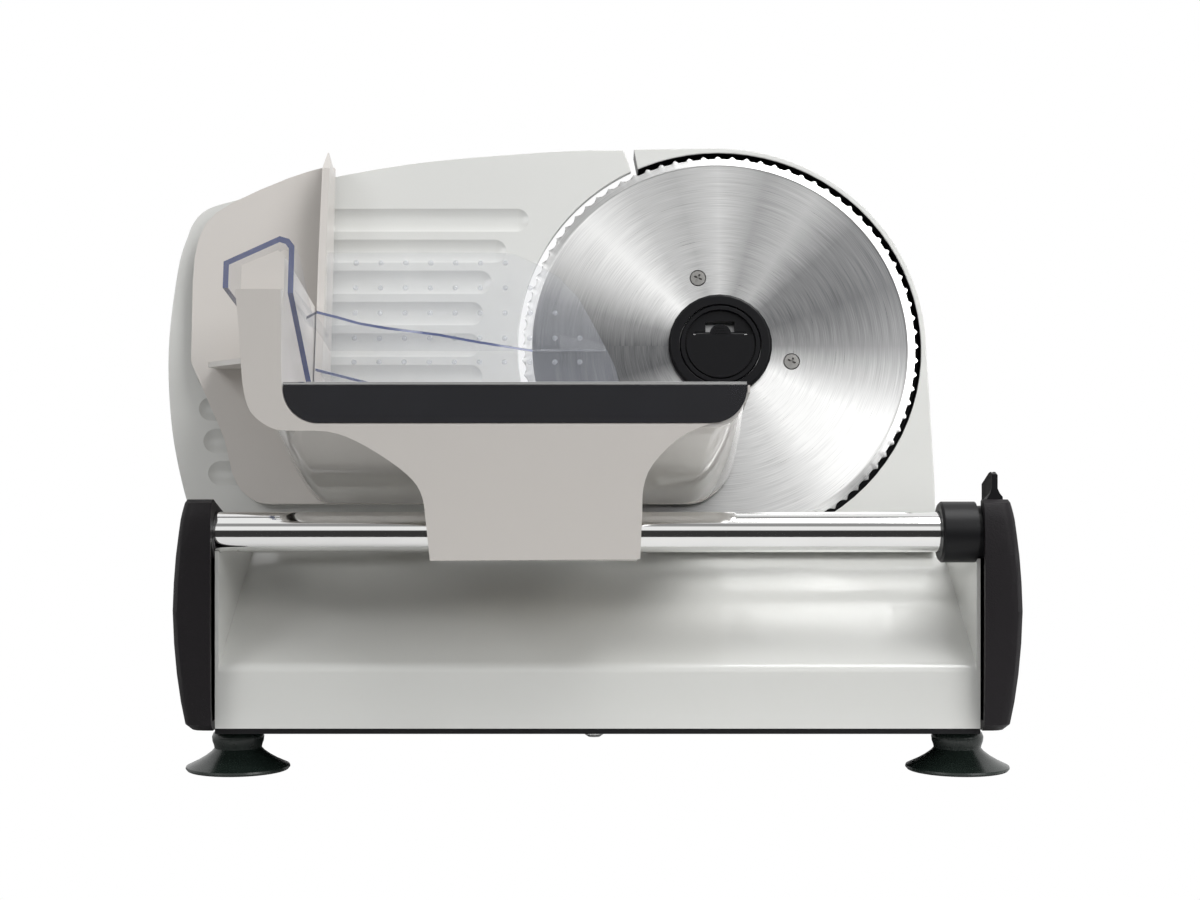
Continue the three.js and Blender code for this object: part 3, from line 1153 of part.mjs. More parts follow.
function hullRing([y, bottom, right], station, inset) {
  const share = station / (hullStations.length - 1);
  const radius = THREE.MathUtils.lerp(HULL_FRONT_CORNER, HULL_REAR_CORNER, share) - inset;
  const left = HULL_LEFT_X + inset;
  const low = bottom + inset;
  const top = TRAY_TOP - TRAY_THICKNESS - FIT - SHELL_WALL + (inset ? 0 : 1);
  const ring = [[left, y, top]];
  for (let i = 0; i <= 3; i += 1) {
    const turn = (i / 3) * Math.PI / 2;
    const corner = HULL_LEFT_CORNER - inset;
    ring.push([left + corner - corner * Math.cos(turn), y, low + corner - corner * Math.sin(turn)]);
  }
  for (let i = 0; i <= 6; i += 1) {
    const turn = (i / 6) * Math.PI / 2;
    ring.push([right - inset - radius + radius * Math.sin(turn), y, low + radius - radius * Math.cos(turn)]);
  }
  ring.push([right - inset, y, top]);
  return ring;
}

// Height of the hull's underside above a given depth, both in the upright frame
function hullUnder(y) {
  const [near, far] = hullStations.slice(-2).map(([along, bottom]) => {
    return new THREE.Vector3(0, along, bottom).applyMatrix4(leanMatrix);
  });
  return near.z + ((y - near.y) * (far.z - near.z)) / (far.y - near.y);
}

function hull(inset) {
  return solid(leaned(loft(hullStations.map((station, i) => hullRing(station, i, inset)))));
}

function carriageShell() {
  const floorTop = TRAY_TOP - TRAY_THICKNESS - FIT;
  const shellFront = SHELL_REAR - SHELL_WALL;
  const back = outline([...shellEdge, [65, floorTop], [FIN_RIGHT_X, floorTop], [FIN_RIGHT_X, 86]]);
  const finLeft = FIN_RIGHT_X - FIN_THICKNESS;
  const finFront = outline([
    [finLeft, floorTop - 2], [FIN_RIGHT_X, floorTop - 2], [FIN_RIGHT_X, 83.4], [finLeft + 0.6, 93.6], [finLeft, 93.6],
  ]);
  const fin = outline([
    [SHELL_REAR, 93.6], [shellFront, 93.6], [-25, 80.4], [-30, 32], [-34, floorTop - 2],
    [SHELL_REAR, floorTop - 2],
  ]);
  const shelfRight = FENCE_LEFT_X + 2;
  const shelfRear = new THREE.Vector3(0, SHELL_REAR - 1, SHELF_Z - BLADE_Z).applyMatrix4(leanMatrix).y;
  const shelf = outline([[-181, shelfRear], [shelfRight, shelfRear], [shelfRight, -70], [-158.3, -67], [-181, -27]]);
  const fence = outline([
    [FENCE_LEFT_X + FENCE_TAPER, floorTop - 3], [FENCE_RIGHT_X, floorTop - 3], [FENCE_RIGHT_X, FENCE_TOP],
    [FENCE_RIGHT_X, 11], [FENCE_RIGHT_X - 3, 13.5], [FENCE_LEFT_X, 7], [FENCE_LEFT_X, -20],
  ]);
  const inLeft = FENCE_LEFT_X + SHELL_WALL;
  const inRight = HULL_LEFT_X - 0.5;
  const hollow = frontPlate(outline([
    [inLeft, FENCE_TOP - 3], [inLeft, -20], [inLeft + FENCE_TAPER, floorTop - 3],
    [inLeft + FENCE_TAPER, floorTop - 10], [inRight, floorTop - 10], [inRight, FENCE_TOP - 3],
  ]), -113, SHELL_REAR - 8);
  const parts = [
    solid(leaned(frontPlate(back, shellFront, SHELL_REAR))),
    solid(leaned(box(-136, 63, -122, SHELL_REAR, floorTop - SHELL_WALL, floorTop))),
    solid(leaned(sidePlate(fin, finLeft, FIN_RIGHT_X))).intersect(solid(leaned(frontPlate(finFront, -BEYOND, 0)))),
    hull(0),
    solid(flatPlate(shelf, SHELF_Z, SHELF_Z + SHELF_THICKNESS)),
    solid(leaned(frontPlate(fence, -119, shellFront + 1))),
  ];
  return union(parts).subtract(solid(leaned(hollow)));
}

function carriageBody() {
  const wallRear = CARRIAGE_FRONT_Y + FRONT_WALL;
  let body = carriageShell();
  body = body.subtract(solid(box(-BEYOND, BEYOND, -BEYOND, CARRIAGE_FRONT_Y, -BEYOND, 2 * BEYOND)));
  body = body.add(solid(frontPlate(outline(frontEdge), CARRIAGE_FRONT_Y, wallRear)));
  const bossLength = [BOSS_LEFT_X, BOSS_RIGHT_X];
  body = body.add(solid(rod(BOSS_RADIUS, ...bossLength, 'x', [0, ROD_Y, ROD_Z], 28)));
  for (const x of [BOSS_LEFT_X, (BOSS_LEFT_X + BOSS_RIGHT_X) / 2 - 2, BOSS_RIGHT_X - 4]) {
    const rib = outline([
      [wallRear - 1, 97], [ROD_Y, ROD_Z - 8], [ROD_Y + 10, ROD_Z + 4], [-60, 152], [wallRear - 1, 152],
    ]);
    body = body.add(solid(sidePlate(rib, x, x + 4)));
  }
  body = body.subtract(solid(frontPlate(apronOutline(0.3), CARRIAGE_FRONT_Y - 1, TRAY_FRONT_Y + 1 + FIT)));
  body = body.subtract(solid(rod(BUSH_RADIUS + PASS, -BEYOND, BEYOND, 'x', [0, ROD_Y, ROD_Z], 28)));
  const trayTop = TRAY_TOP - TRAY_THICKNESS - FIT;
  const insideFront = box(-BEYOND, BEYOND, wallRear, SHELL_REAR - SHELL_WALL, 0, 2 * BEYOND);
  const rearFace = leaned(box(-BEYOND, BEYOND, -BEYOND, SHELL_REAR - SHELL_WALL, -BEYOND, BEYOND));
  body = body.subtract(hull(SHELL_WALL).intersect(solid(insideFront)).intersect(solid(rearFace)));
  const window = box(TRAY_LEFT_X + 12, TRAY_RIGHT_X - 14, -104, -42, trayTop - SHELL_WALL - 1, trayTop + 1);
  body = body.subtract(solid(leaned(window)));
  const foodSpace = box(TRAY_LEFT_X - 0.4, 200, -160, SHELL_REAR - SHELL_WALL - 22, trayTop, TRAY_TOP + 1);
  return body.subtract(solid(leaned(foodSpace)));
}
piece('carriage_body', carriageBody(), CARRIAGE_PLASTIC);

function steelTray() {
  const apron = solid(frontPlate(apronOutline(0), TRAY_FRONT_Y, TRAY_FRONT_Y + TRAY_THICKNESS));
  const rear = SHELL_REAR - SHELL_WALL - 22.3;
  const floorBox = box(TRAY_LEFT_X, TRAY_RIGHT_X, -122, rear, TRAY_TOP - TRAY_THICKNESS, TRAY_TOP);
  const floor = solid(leaned(floorBox)).subtract(solid(box(-BEYOND, BEYOND, -BEYOND, TRAY_FRONT_Y, 0, BEYOND)));
  return apron.add(floor);
}
piece('stainless_tray', steelTray(), POLISHED_STEEL);

const bushStarts = [BOSS_LEFT_X + 1, BOSS_RIGHT_X - 1 - BUSH_LENGTH];
bushStarts.forEach((x, i) => {
  const bush = tube(ROD_RADIUS + PASS, BUSH_RADIUS, x, x + BUSH_LENGTH, 'x', [0, ROD_Y, ROD_Z], 28);
  piece(`rod_bush_${i ? 'right' : 'left'}`, solid(bush), NYLON);
});

// Glide shoe: hangs under the carriage's hull and straddles the rear guide bar
function glideShoe() {
  const shape = outline([
    [BAR_Y - 5.4, BAR_Z - 2.4], [BAR_Y - 5.4, hullUnder(BAR_Y - 5.4) - FIT],
    [BAR_Y + 5.4, hullUnder(BAR_Y + 5.4) - FIT], [BAR_Y + 5.4, BAR_Z - 2.4],
  ]);
  let body = solid(sidePlate(shape, -60, 10));
  const slot = BAR_RADIUS + FIT;
  body = body.subtract(solid(rod(slot, -100, 100, 'x', [0, BAR_Y, BAR_Z], 16)));
  return body.subtract(solid(box(-100, 100, BAR_Y - slot, BAR_Y + slot, BAR_Z - 10, BAR_Z)));
}
piece('glide_shoe', glideShoe(), NYLON);

// Pusher: clear moulding with a face plate, a side sheet, two gussets and a hook over the fence
const faceEdge = [
  [-45.7, PUSHER_TOP], [-39.1, 37], [-28.8, 32.4], [-18.1, 25.9],
  [-9.2, 16.3], [-3.6, 6.3], [4.5, -9.4], [8.4, -17.9],
];

function pusher() {
  const bottom = TRAY_TOP + 1;
  const right = PUSHER_LEFT_X + PUSHER_WALL;
  const hookLeft = PUSHER_LEFT_X - HOOK_OFFSET;
  const hookRight = hookLeft + PUSHER_WALL;
  const face = outline([[PUSHER_LEFT_X, bottom], [PUSHER_LEFT_X, PUSHER_TOP], ...faceEdge, [14, bottom]]);
  const hook = outline([
    [-156.6, -2.8], [-156.6, 8.6], [-133.4, 19.6], [-129.4, 18.4], [hookRight, 15.4], [hookRight, -5],
    [hookLeft, -5], [hookLeft, 14.2], [-130.9, 16.2], [-133.4, 17], [-154.3, 7.2], [-154.3, -2.8],
  ]);
  const side = outline([
    [PUSHER_PLATE + 1, bottom], [-66, bottom], [HOOK_FRONT, -5], [HOOK_FRONT, -2.8],
    [PUSHER_PLATE + 1, -2.8],
  ]);
  const slant = outline([
    [hookRight, HOOK_FRONT], [right, -58], [right, PUSHER_PLATE + 1], [PUSHER_LEFT_X, PUSHER_PLATE + 1],
    [PUSHER_LEFT_X, -58], [hookLeft, HOOK_FRONT],
  ]);
  const mouth = outline([[-110, 20], [-106, 15.4], [-66, -0.4], [HOOK_REAR + 1, -3], [HOOK_REAR + 1, 20]]);
  const behind = PUSHER_PLATE + 1;
  const gusset = outline([
    [right - 1, behind], [4, behind], [4, PUSHER_PLATE - 3], [-30, PUSHER_PLATE - 3], [-54.6, -51], [-71, -65],
    [-82, -71.2], [-93, -77.6], [-103.5, -86], [-111.5, -97], [right + 5, -106], [right - 1, -96],
  ]);
  const foot = outline([[right - 1, behind], [-96, behind], [-98, PUSHER_PLATE - 2], [right - 1, -70]]);
  return union([
    solid(frontPlate(face, PUSHER_PLATE, PUSHER_PLATE + PUSHER_WALL)),
    solid(frontPlate(hook, HOOK_FRONT, HOOK_REAR)).subtract(solid(sidePlate(mouth, -BEYOND, right + 1))),
    solid(sidePlate(side, hookLeft, right)).intersect(solid(flatPlate(slant, bottom, 0))),
    solid(flatPlate(gusset, UPPER_RIB, UPPER_RIB + RIB_THICKNESS)),
    solid(flatPlate(foot, LOWER_RIB, LOWER_RIB + RIB_THICKNESS)),
  ]);
}
piece('pusher', pusher(), CLEAR_PLASTIC, leaning);

// The origin goes under the middle of the machine, on the surface that it stands on
machine.updateMatrixWorld(true);
const bounds = new THREE.Box3().setFromObject(machine, true);
const middle = bounds.getCenter(new THREE.Vector3());
machine.position.set(-middle.x, -middle.y, -bounds.min.z);
machine.updateMatrixWorld(true);

export default machine;
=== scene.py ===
# %% [markdown]
# # An electric food slicer
# The real machine is a kitchen slicer. A round serrated blade leans back a little in a painted housing,
# a carriage with a steel tray slides past it on a chrome rod, and a clear pusher holds the food.
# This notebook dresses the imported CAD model: each visible piece gets the edges, curves and finish that
# the real one has, and every piece keeps the place that the CAD gives it.

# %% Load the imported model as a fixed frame
import json
import math

import bmesh
import bpy
from mathutils import Matrix, Vector

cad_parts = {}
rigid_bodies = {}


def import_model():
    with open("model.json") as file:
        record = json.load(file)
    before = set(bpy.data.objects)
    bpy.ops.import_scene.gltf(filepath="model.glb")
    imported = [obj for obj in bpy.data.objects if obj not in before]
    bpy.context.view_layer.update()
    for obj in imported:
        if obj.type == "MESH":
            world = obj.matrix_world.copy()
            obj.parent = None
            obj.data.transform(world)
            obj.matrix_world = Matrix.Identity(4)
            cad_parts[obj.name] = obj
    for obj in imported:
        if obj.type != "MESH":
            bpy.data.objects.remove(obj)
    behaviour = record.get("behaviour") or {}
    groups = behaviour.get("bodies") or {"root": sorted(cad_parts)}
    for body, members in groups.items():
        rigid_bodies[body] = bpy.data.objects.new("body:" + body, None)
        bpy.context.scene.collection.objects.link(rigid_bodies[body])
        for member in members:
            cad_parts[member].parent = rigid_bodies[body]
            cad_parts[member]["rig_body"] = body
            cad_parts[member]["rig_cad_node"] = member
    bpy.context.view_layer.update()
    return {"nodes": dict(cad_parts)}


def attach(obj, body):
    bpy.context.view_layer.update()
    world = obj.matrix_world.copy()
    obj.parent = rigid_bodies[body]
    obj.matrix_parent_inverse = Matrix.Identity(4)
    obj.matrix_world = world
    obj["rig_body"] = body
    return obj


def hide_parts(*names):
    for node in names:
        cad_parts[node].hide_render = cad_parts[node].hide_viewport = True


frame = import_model()
MM = 0.001

# %% [markdown]
# ## Camera
# The photograph was taken level, from straight in front and about 0.92 m away, a little below the middle
# of the blade. A 58 mm lens at that distance gives the same perspective, so that the sloping front of the
# base and the inner sides of its end plates show as much as they do there.

# %% Camera
bpy.ops.object.camera_add(location=(12.7 * MM, -922.5 * MM, 141 * MM), rotation=(math.pi / 2, 0, 0))
camera = bpy.context.object
camera.name = "photo_camera"
camera.data.lens = 57.99
camera.data.sensor_width = 36
bpy.context.scene.camera = camera
print("camera at", tuple(round(v, 4) for v in camera.location))

# %% [markdown]
# ## Shader maths as Python
# A material is a small program. Wrapping a node's socket in a class with operators lets that program be
# written as an expression, such as `0.4 + 0.2 * speckle`, and each operator adds its Math node.


# %% Sockets that can be added and multiplied
class Wire:
    def __init__(self, nodes, socket):
        self.nodes, self.socket = nodes, socket

    def other(self, output):
        return Wire(self.nodes, self.socket.node.outputs[output])

    def _math(self, operation, *values):
        return self.nodes.node("ShaderNodeMath", {"operation": operation}, dict(enumerate(values)))

    def __add__(self, other):
        return self._math("ADD", self, other)

    __radd__ = __add__

    def __sub__(self, other):
        return self._math("SUBTRACT", self, other)

    def __rsub__(self, other):
        return self._math("SUBTRACT", other, self)

    def __mul__(self, other):
        return self._math("MULTIPLY", self, other)

    __rmul__ = __mul__

    def or_more(self, other):
        return self._math("MAXIMUM", self, other)

    def clipped(self):
        return self._math("MINIMUM", self, 1.0).or_more(0.0)


# %% [markdown]
# One method adds any other node: first its settings, then the value or link of each socket. The blade and
# the room need a grey that depends on an angle, so a ramp takes its stops as degrees and tones.


# %% Nodes of a material or of the world
class Nodes:
    def __init__(self, tree):
        self.tree = tree

    def node(self, kind, settings=None, sockets=None, output=0):
        made = self.tree.nodes.new(kind)
        for key, value in (settings or {}).items():
            if key == "tones":
                self.fill(made.color_ramp, value)
            else:
                setattr(made, key, value)
        for key, value in (sockets or {}).items():
            self.feed(made.inputs[key], value)
        return Wire(self, made.outputs[output])

    def fill(self, ramp, tones):
        while len(ramp.elements) < len(tones):
            ramp.elements.new(1.0)
        for element, (angle, tone) in zip(ramp.elements, tones):
            element.position, element.color = (angle + 180) / 360, (tone, tone, tone, 1.0)

    def feed(self, socket, value):
        if isinstance(value, Wire):
            self.tree.links.new(value.socket, socket)
        else:
            socket.default_value = value


# %% [markdown]
# A finish is one material, and it has the few nodes that nearly all of them need. When a Mix node works on
# colours, its sockets 6 and 7 are the two colours, and its output 2 is the result.


# %% A finish: one material with the nodes that it often needs
class Finish(Nodes):
    def __init__(self, name):
        self.material = bpy.data.materials.new(name)
        self.material.use_nodes = True
        super().__init__(self.material.node_tree)
        self.shader = self.tree.nodes["Principled BSDF"]

    def set(self, **sockets):
        for key, value in sockets.items():
            self.feed(self.shader.inputs[key.replace("_", " ")], value)

    def place(self):
        return self.node("ShaderNodeTexCoord", output="Object")

    def noise(self, scale, detail, place=None):
        return self.node("ShaderNodeTexNoise", None,
                         {"Vector": place or self.place(), "Scale": scale, "Detail": detail})

    def vector(self, x, y, z):
        return self.node("ShaderNodeCombineXYZ", None, {"X": x, "Y": y, "Z": z})

    def length(self, vector):
        return self.node("ShaderNodeVectorMath", {"operation": "LENGTH"}, {0: vector}, output="Value")

    def tint(self, share, first, second):
        return self.node("ShaderNodeMix", {"data_type": "RGBA"},
                         {"Factor": share, 6: (*first, 1.0), 7: (*second, 1.0)}, output=2)

    def bump(self, height, strength, depth):
        return self.node("ShaderNodeBump", None, {"Height": height, "Strength": strength, "Distance": depth})


print("shader classes ready")

# %% [markdown]
# ## Finishes
# The painted sheet has the faint orange peel of powder coat. Moulded plastic has an even fine grain, with
# the black caps coarser than the rest. Each finish varies a little in tone and gloss, as handling leaves it.
# The numbers of a finish are its roughness, how fine its grain is, and the height of the grain in metres.


# %% Paint and moulded plastics
def grained(name, color, darker, roughness, grain, depth, spread=0.08, coat=0.0, shine=0.5, coat_roughness=0.12):
    finish = Finish(name)
    cloud = finish.noise(9.0, 4.0)
    fine = finish.noise(grain, 2.0)
    finish.set(
        Base_Color=finish.tint(cloud, color, darker),
        Roughness=roughness + spread * (fine - 0.5) + 0.5 * spread * (cloud - 0.5),
        Normal=finish.bump(fine, 0.6, depth),
        Coat_Weight=coat,
        Coat_Roughness=coat_roughness,
        Specular_IOR_Level=shine,
    )
    return finish.material


paint = grained("light_grey_paint", (0.73, 0.735, 0.71), (0.70, 0.705, 0.68), 0.34, 900.0, 0.00003, coat=0.7)
carriage_plastic = grained("warm_grey_plastic", (0.665, 0.635, 0.60), (0.63, 0.60, 0.57), 0.36, 2600.0, 0.00002,
                           coat=0.3)
hull_plastic = grained("polished_grey_plastic", (0.665, 0.64, 0.61), (0.63, 0.605, 0.575), 0.2, 500.0, 0.00001,
                       coat=1.0, coat_roughness=0.05)
cap_plastic = grained("black_grained_plastic", (0.006, 0.005, 0.006), (0.014, 0.012, 0.014), 0.5, 1500.0, 0.00022,
                      shine=0.2)
plain_black = grained("black_plastic", (0.005, 0.005, 0.006), (0.009, 0.009, 0.010), 0.4, 1800.0, 0.00003, shine=0.2)
gloss_black = grained("gloss_black_plastic", (0.003, 0.003, 0.004), (0.006, 0.006, 0.007), 0.3, 700.0, 0.00002,
                      shine=0.15)
nylon = grained("natural_nylon", (0.76, 0.72, 0.62), (0.70, 0.66, 0.56), 0.45, 1500.0, 0.00003)
foot_rubber = grained("dark_rubber", (0.010, 0.017, 0.014), (0.018, 0.026, 0.022), 0.26, 500.0, 0.00003, spread=0.15)
board_green = grained("green_board", (0.03, 0.16, 0.07), (0.05, 0.20, 0.10), 0.35, 600.0, 0.00002)
print("paint and plastics", paint.name, carriage_plastic.name)

# %% [markdown]
# ## Metals
# Chrome is nearly a mirror. Turned and stamped steel carries fine marks. The blade is ground while it
# spins, so its scratches are rings round the spindle: a noise that changes quickly along the radius and
# slowly round it bends the light a little. The bright fans that such a disc shows are painted highlights
# in its base colour.


# %% Metals
def metal(name, color, darker, roughness, grain, depth, spread=0.1):
    finish = Finish(name)
    cloud = finish.noise(30.0, 4.0)
    fine = finish.noise(grain, 3.0)
    finish.set(
        Base_Color=finish.tint(cloud, color, darker),
        Metallic=1.0,
        Roughness=roughness + spread * (fine - 0.5),
        Normal=finish.bump(fine, 0.4, depth),
    )
    return finish.material


chrome = metal("chrome", (0.86, 0.86, 0.85), (0.80, 0.80, 0.79), 0.07, 200.0, 0.000004, 0.04)
tray_steel = metal("polished_tray_steel", (0.62, 0.62, 0.66), (0.50, 0.51, 0.58), 0.11, 60.0, 0.00002, 0.06)
bright_steel = metal("bright_steel", (0.62, 0.62, 0.61), (0.52, 0.52, 0.52), 0.28, 900.0, 0.00002)
screw_steel = metal("dull_screw_steel", (0.34, 0.33, 0.32), (0.22, 0.22, 0.21), 0.34, 1500.0, 0.00003)
cast_metal = metal("cast_aluminium", (0.58, 0.58, 0.58), (0.48, 0.48, 0.49), 0.5, 1200.0, 0.00006)
bronze = metal("sintered_bronze", (0.62, 0.46, 0.24), (0.52, 0.38, 0.19), 0.42, 1400.0, 0.00004)
print("metals", chrome.name, tray_steel.name)


# %% [markdown]
# ## Working by hand, in code
# The next helpers do what a modeller does at the screen: clear the selection, add a ring, extrude and
# scale it along a profile, close it, and settle the finished mesh so that its object stays at the origin.
# The leaning frame is the CAD's own: x across, y along the spindle, z up along the blade. The upright one
# is the same without the lean, with its zero on the table.

# %% Frames
TILT = math.radians(10)
SHIFT_X, SHIFT_Y, SPINDLE_Z = 11.7, 2.5, 190.8
LEAN = Matrix.Translation((SHIFT_X * MM, SHIFT_Y * MM, SPINDLE_Z * MM)) @ Matrix.Rotation(-TILT, 4, "X")
OFF = LEAN.inverted()
UPRIGHT = Matrix.Translation((SHIFT_X * MM, SHIFT_Y * MM, 0))
print("spindle at", tuple(round(v, 4) for v in LEAN.translation))


# %% Select, settle and finish a piece
def clear():
    if bpy.context.object and bpy.context.object.mode != "OBJECT":
        bpy.ops.object.mode_set(mode="OBJECT")
    bpy.ops.object.select_all(action="DESELECT")


def take(piece):
    clear()
    piece.select_set(True)
    bpy.context.view_layer.objects.active = piece


def settle(piece, place=LEAN):
    take(piece)
    piece.matrix_world = place @ piece.matrix_world
    bpy.ops.object.transform_apply(location=True, rotation=True, scale=True)
    return piece


def finish_piece(piece, name, material, body, slot, *nodes, smooth=35):
    piece.name = name
    take(piece)
    bpy.ops.object.shade_smooth_by_angle(angle=math.radians(smooth))
    if not piece.data.materials:
        piece.data.materials.append(material)
    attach(piece, body)
    if nodes:
        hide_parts(*nodes)
    print(name, len(piece.data.polygons), "faces")


def apply_modifier(piece, kind, **settings):
    take(piece)
    modifier = piece.modifiers.new(kind.lower(), kind)
    for key, value in settings.items():
        setattr(modifier, key, value)
    bpy.ops.object.modifier_apply(modifier=modifier.name)


# %% [markdown]
# A hole or a hollow is the shape of a tool taken away from the piece, as a drill or a press leaves it. The
# tool is a mesh of its own, and it is deleted once the Boolean modifier has been applied.

# %% Cutting, and round bars along an axis
ALONG_X, ALONG_Y = (0, math.pi / 2, 0), (math.pi / 2, 0, 0)


def cut(piece, tool):
    apply_modifier(piece, "BOOLEAN", operation="DIFFERENCE", object=tool, solver="EXACT")
    bpy.data.objects.remove(tool)


def cylinder(radius, length, middle, axis_turn, steps):
    clear()
    bpy.ops.mesh.primitive_cylinder_add(vertices=steps, radius=radius * MM, depth=length * MM,
                                        location=tuple(v * MM for v in middle), rotation=axis_turn)
    return bpy.context.object


# %% [markdown]
# A CAD node is loose triangles. Where its shape is right, a copy is merged, its flat faces are joined up
# again, and its edges are broken with a small bevel: real sheet and mouldings have no sharp edge, and
# the bevel is what catches the light. The copy first drops the two marks that make the original a CAD node.
# Weighted normals then let each large face keep its own direction, so that only the bevels look round and a
# flat wall stays flat.

# %% Dress a copy of a CAD node
BEVEL_ANGLE, FLAT_ANGLE, MERGE = math.radians(30), math.radians(0.6), 0.01 * MM


def dressed(node, material, body, slot, bevel, segments=2):
    source = frame["nodes"][node]
    piece = source.copy()
    piece.data = source.data.copy()
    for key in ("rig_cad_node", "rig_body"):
        if key in piece:
            del piece[key]
    piece.parent = None
    piece.data.materials.clear()
    bpy.context.scene.collection.objects.link(piece)
    take(piece)
    bpy.ops.object.mode_set(mode="EDIT")
    bpy.ops.mesh.select_all(action="SELECT")
    bpy.ops.mesh.remove_doubles(threshold=MERGE)
    bpy.ops.mesh.dissolve_limited(angle_limit=FLAT_ANGLE)
    bpy.ops.object.mode_set(mode="OBJECT")
    if bevel:
        apply_modifier(piece, "BEVEL", width=bevel * MM, segments=segments, limit_method="ANGLE",
                       angle_limit=BEVEL_ANGLE, use_clamp_overlap=True, miter_outer="MITER_ARC")
    finish_piece(piece, "dressed_" + node, material, body, slot, node)
    apply_modifier(piece, "WEIGHTED_NORMAL", keep_sharp=True, weight=90)
    return piece


# %% [markdown]
# Turned pieces, such as the rod, feet and screw heads, are drawn as a ring of points that is extruded and scaled
# from one point of the profile to the next, the way the tool of a lathe follows it.


# %% A turned piece from a profile of (radius, distance along its axis), in millimetres
def turned(profile, steps, turn=None, at=(0, 0, 0)):
    clear()
    radius, along = profile[0]
    bpy.ops.mesh.primitive_circle_add(vertices=steps, radius=radius * MM, fill_type="NGON", location=(0, 0, 0))
    piece = bpy.context.object
    bpy.ops.object.mode_set(mode="EDIT")
    bpy.ops.mesh.select_all(action="SELECT")
    bpy.ops.transform.translate(value=(0, 0, along * MM))
    for next_radius, next_along in profile[1:]:
        bpy.ops.mesh.extrude_region_move(TRANSFORM_OT_translate={"value": (0, 0, (next_along - along) * MM)})
        share = next_radius / radius
        bpy.ops.transform.resize(value=(share, share, 1), center_override=(0, 0, next_along * MM))
        radius, along = next_radius, next_along
    bpy.ops.mesh.select_all(action="SELECT")
    bpy.ops.mesh.normals_make_consistent(inside=False)
    bpy.ops.object.mode_set(mode="OBJECT")
    if turn:
        piece.data.transform(Matrix.Rotation(math.radians(turn[1]), 4, turn[0]))
    piece.data.transform(Matrix.Translation(Vector(at) * MM))
    return piece


print("helpers ready")

# %% [markdown]
# ## Blade
# A serrated slicing blade is a stamped disc with a ground rim. A ring of points starts at the cutting
# edge. It is extruded inwards to make the bevel, the flat and the wall of the bore, and outwards again to
# make the back. Then the points between two teeth are pulled in, deepest in the middle, so that each
# valley is round and each tooth is a point.

# %% Blade disc
BLADE_X, BLADE_RADIUS = 58.4, 95
TEETH, PER_TOOTH, VALLEY = 84, 6, 1.7
RING_POINTS = TEETH * PER_TOOTH
GROUND_RIM = [(93.4, 0.35), (90.1, 0.75), (89.6, -0.12), (88.6, 0.02)]
FLAT_AND_BORE = [(60, 0.05), (30, 0.02), (14.6, 0), (14.6, -1.4)]
BACK = [(88, 0)]
clear()
bpy.ops.mesh.primitive_circle_add(vertices=RING_POINTS, radius=BLADE_RADIUS * MM, fill_type="NOTHING")
blade = bpy.context.object
bpy.ops.object.mode_set(mode="EDIT")
bpy.ops.mesh.select_all(action="SELECT")
reached = BLADE_RADIUS
for next_radius, rise in GROUND_RIM + FLAT_AND_BORE + BACK:
    bpy.ops.mesh.extrude_edges_move(TRANSFORM_OT_translate={"value": (0, 0, rise * MM)})
    share = next_radius / reached
    bpy.ops.transform.resize(value=(share, share, 1), center_override=(0, 0, 0))
    reached = next_radius
bpy.ops.object.mode_set(mode="OBJECT")
points = len(blade.data.vertices)
print("rings", points // RING_POINTS, "of", RING_POINTS, "points")

# %% Teeth, and the back joined to the edge
rim, lowest = range(RING_POINTS), range(points - RING_POINTS, points)
bpy.ops.object.mode_set(mode="EDIT")
mesh = bmesh.from_edit_mesh(blade.data)
mesh.verts.ensure_lookup_table()
for step in range(1, PER_TOOTH):
    bpy.ops.mesh.select_all(action="DESELECT")
    for index in rim:
        mesh.verts[index].select = index % PER_TOOTH == step
    mesh.select_flush_mode()
    share = 1 - VALLEY / BLADE_RADIUS * math.sin(math.pi * step / PER_TOOTH)
    bpy.ops.transform.resize(value=(share, share, 1), center_override=(0, 0, 0))
bpy.ops.mesh.select_all(action="DESELECT")
for index in (*rim, *lowest):
    mesh.verts[index].select = True
mesh.select_flush_mode()
for edge in mesh.edges:
    edge.select = all(v.select for v in edge.verts)
bpy.ops.mesh.bridge_edge_loops()
bpy.ops.mesh.select_all(action="SELECT")
bpy.ops.mesh.normals_make_consistent(inside=False)
bpy.ops.object.mode_set(mode="OBJECT")
print("blade points", len(blade.data.vertices))

# %% [markdown]
# The blade's material works in polar terms. The distance from the spindle and the angle round it are read
# from the object's own coordinates, turned back by the lean of the blade. The rings of scratches bend the
# light a little. The bright fans and the dark sectors are painted highlights and painted shade: a ramp
# round the angle, with one row of tones for the flat and one for the ground rim, paints into the base
# colour where the steel looks lit and where it looks shaded.

# %% Distance from the spindle and angle round it
finish = Finish("ground_blade_steel")
from_spindle = finish.node("ShaderNodeMapping", {"vector_type": "TEXTURE"}, {
    "Vector": finish.place(), "Rotation": (-TILT, 0, 0),
    "Location": ((SHIFT_X + BLADE_X) * MM, SHIFT_Y * MM, SPINDLE_Z * MM)})
across = finish.node("ShaderNodeSeparateXYZ", None, {"Vector": from_spindle})
above = across.other("Z")
distance = finish.length(finish.vector(across, above, 0.0))
turn = finish.node("ShaderNodeMath", {"operation": "ARCTAN2"}, {0: above, 1: across})
full_turn = turn * (0.5 / math.pi) + 0.5
print("nodes so far", len(finish.tree.nodes))
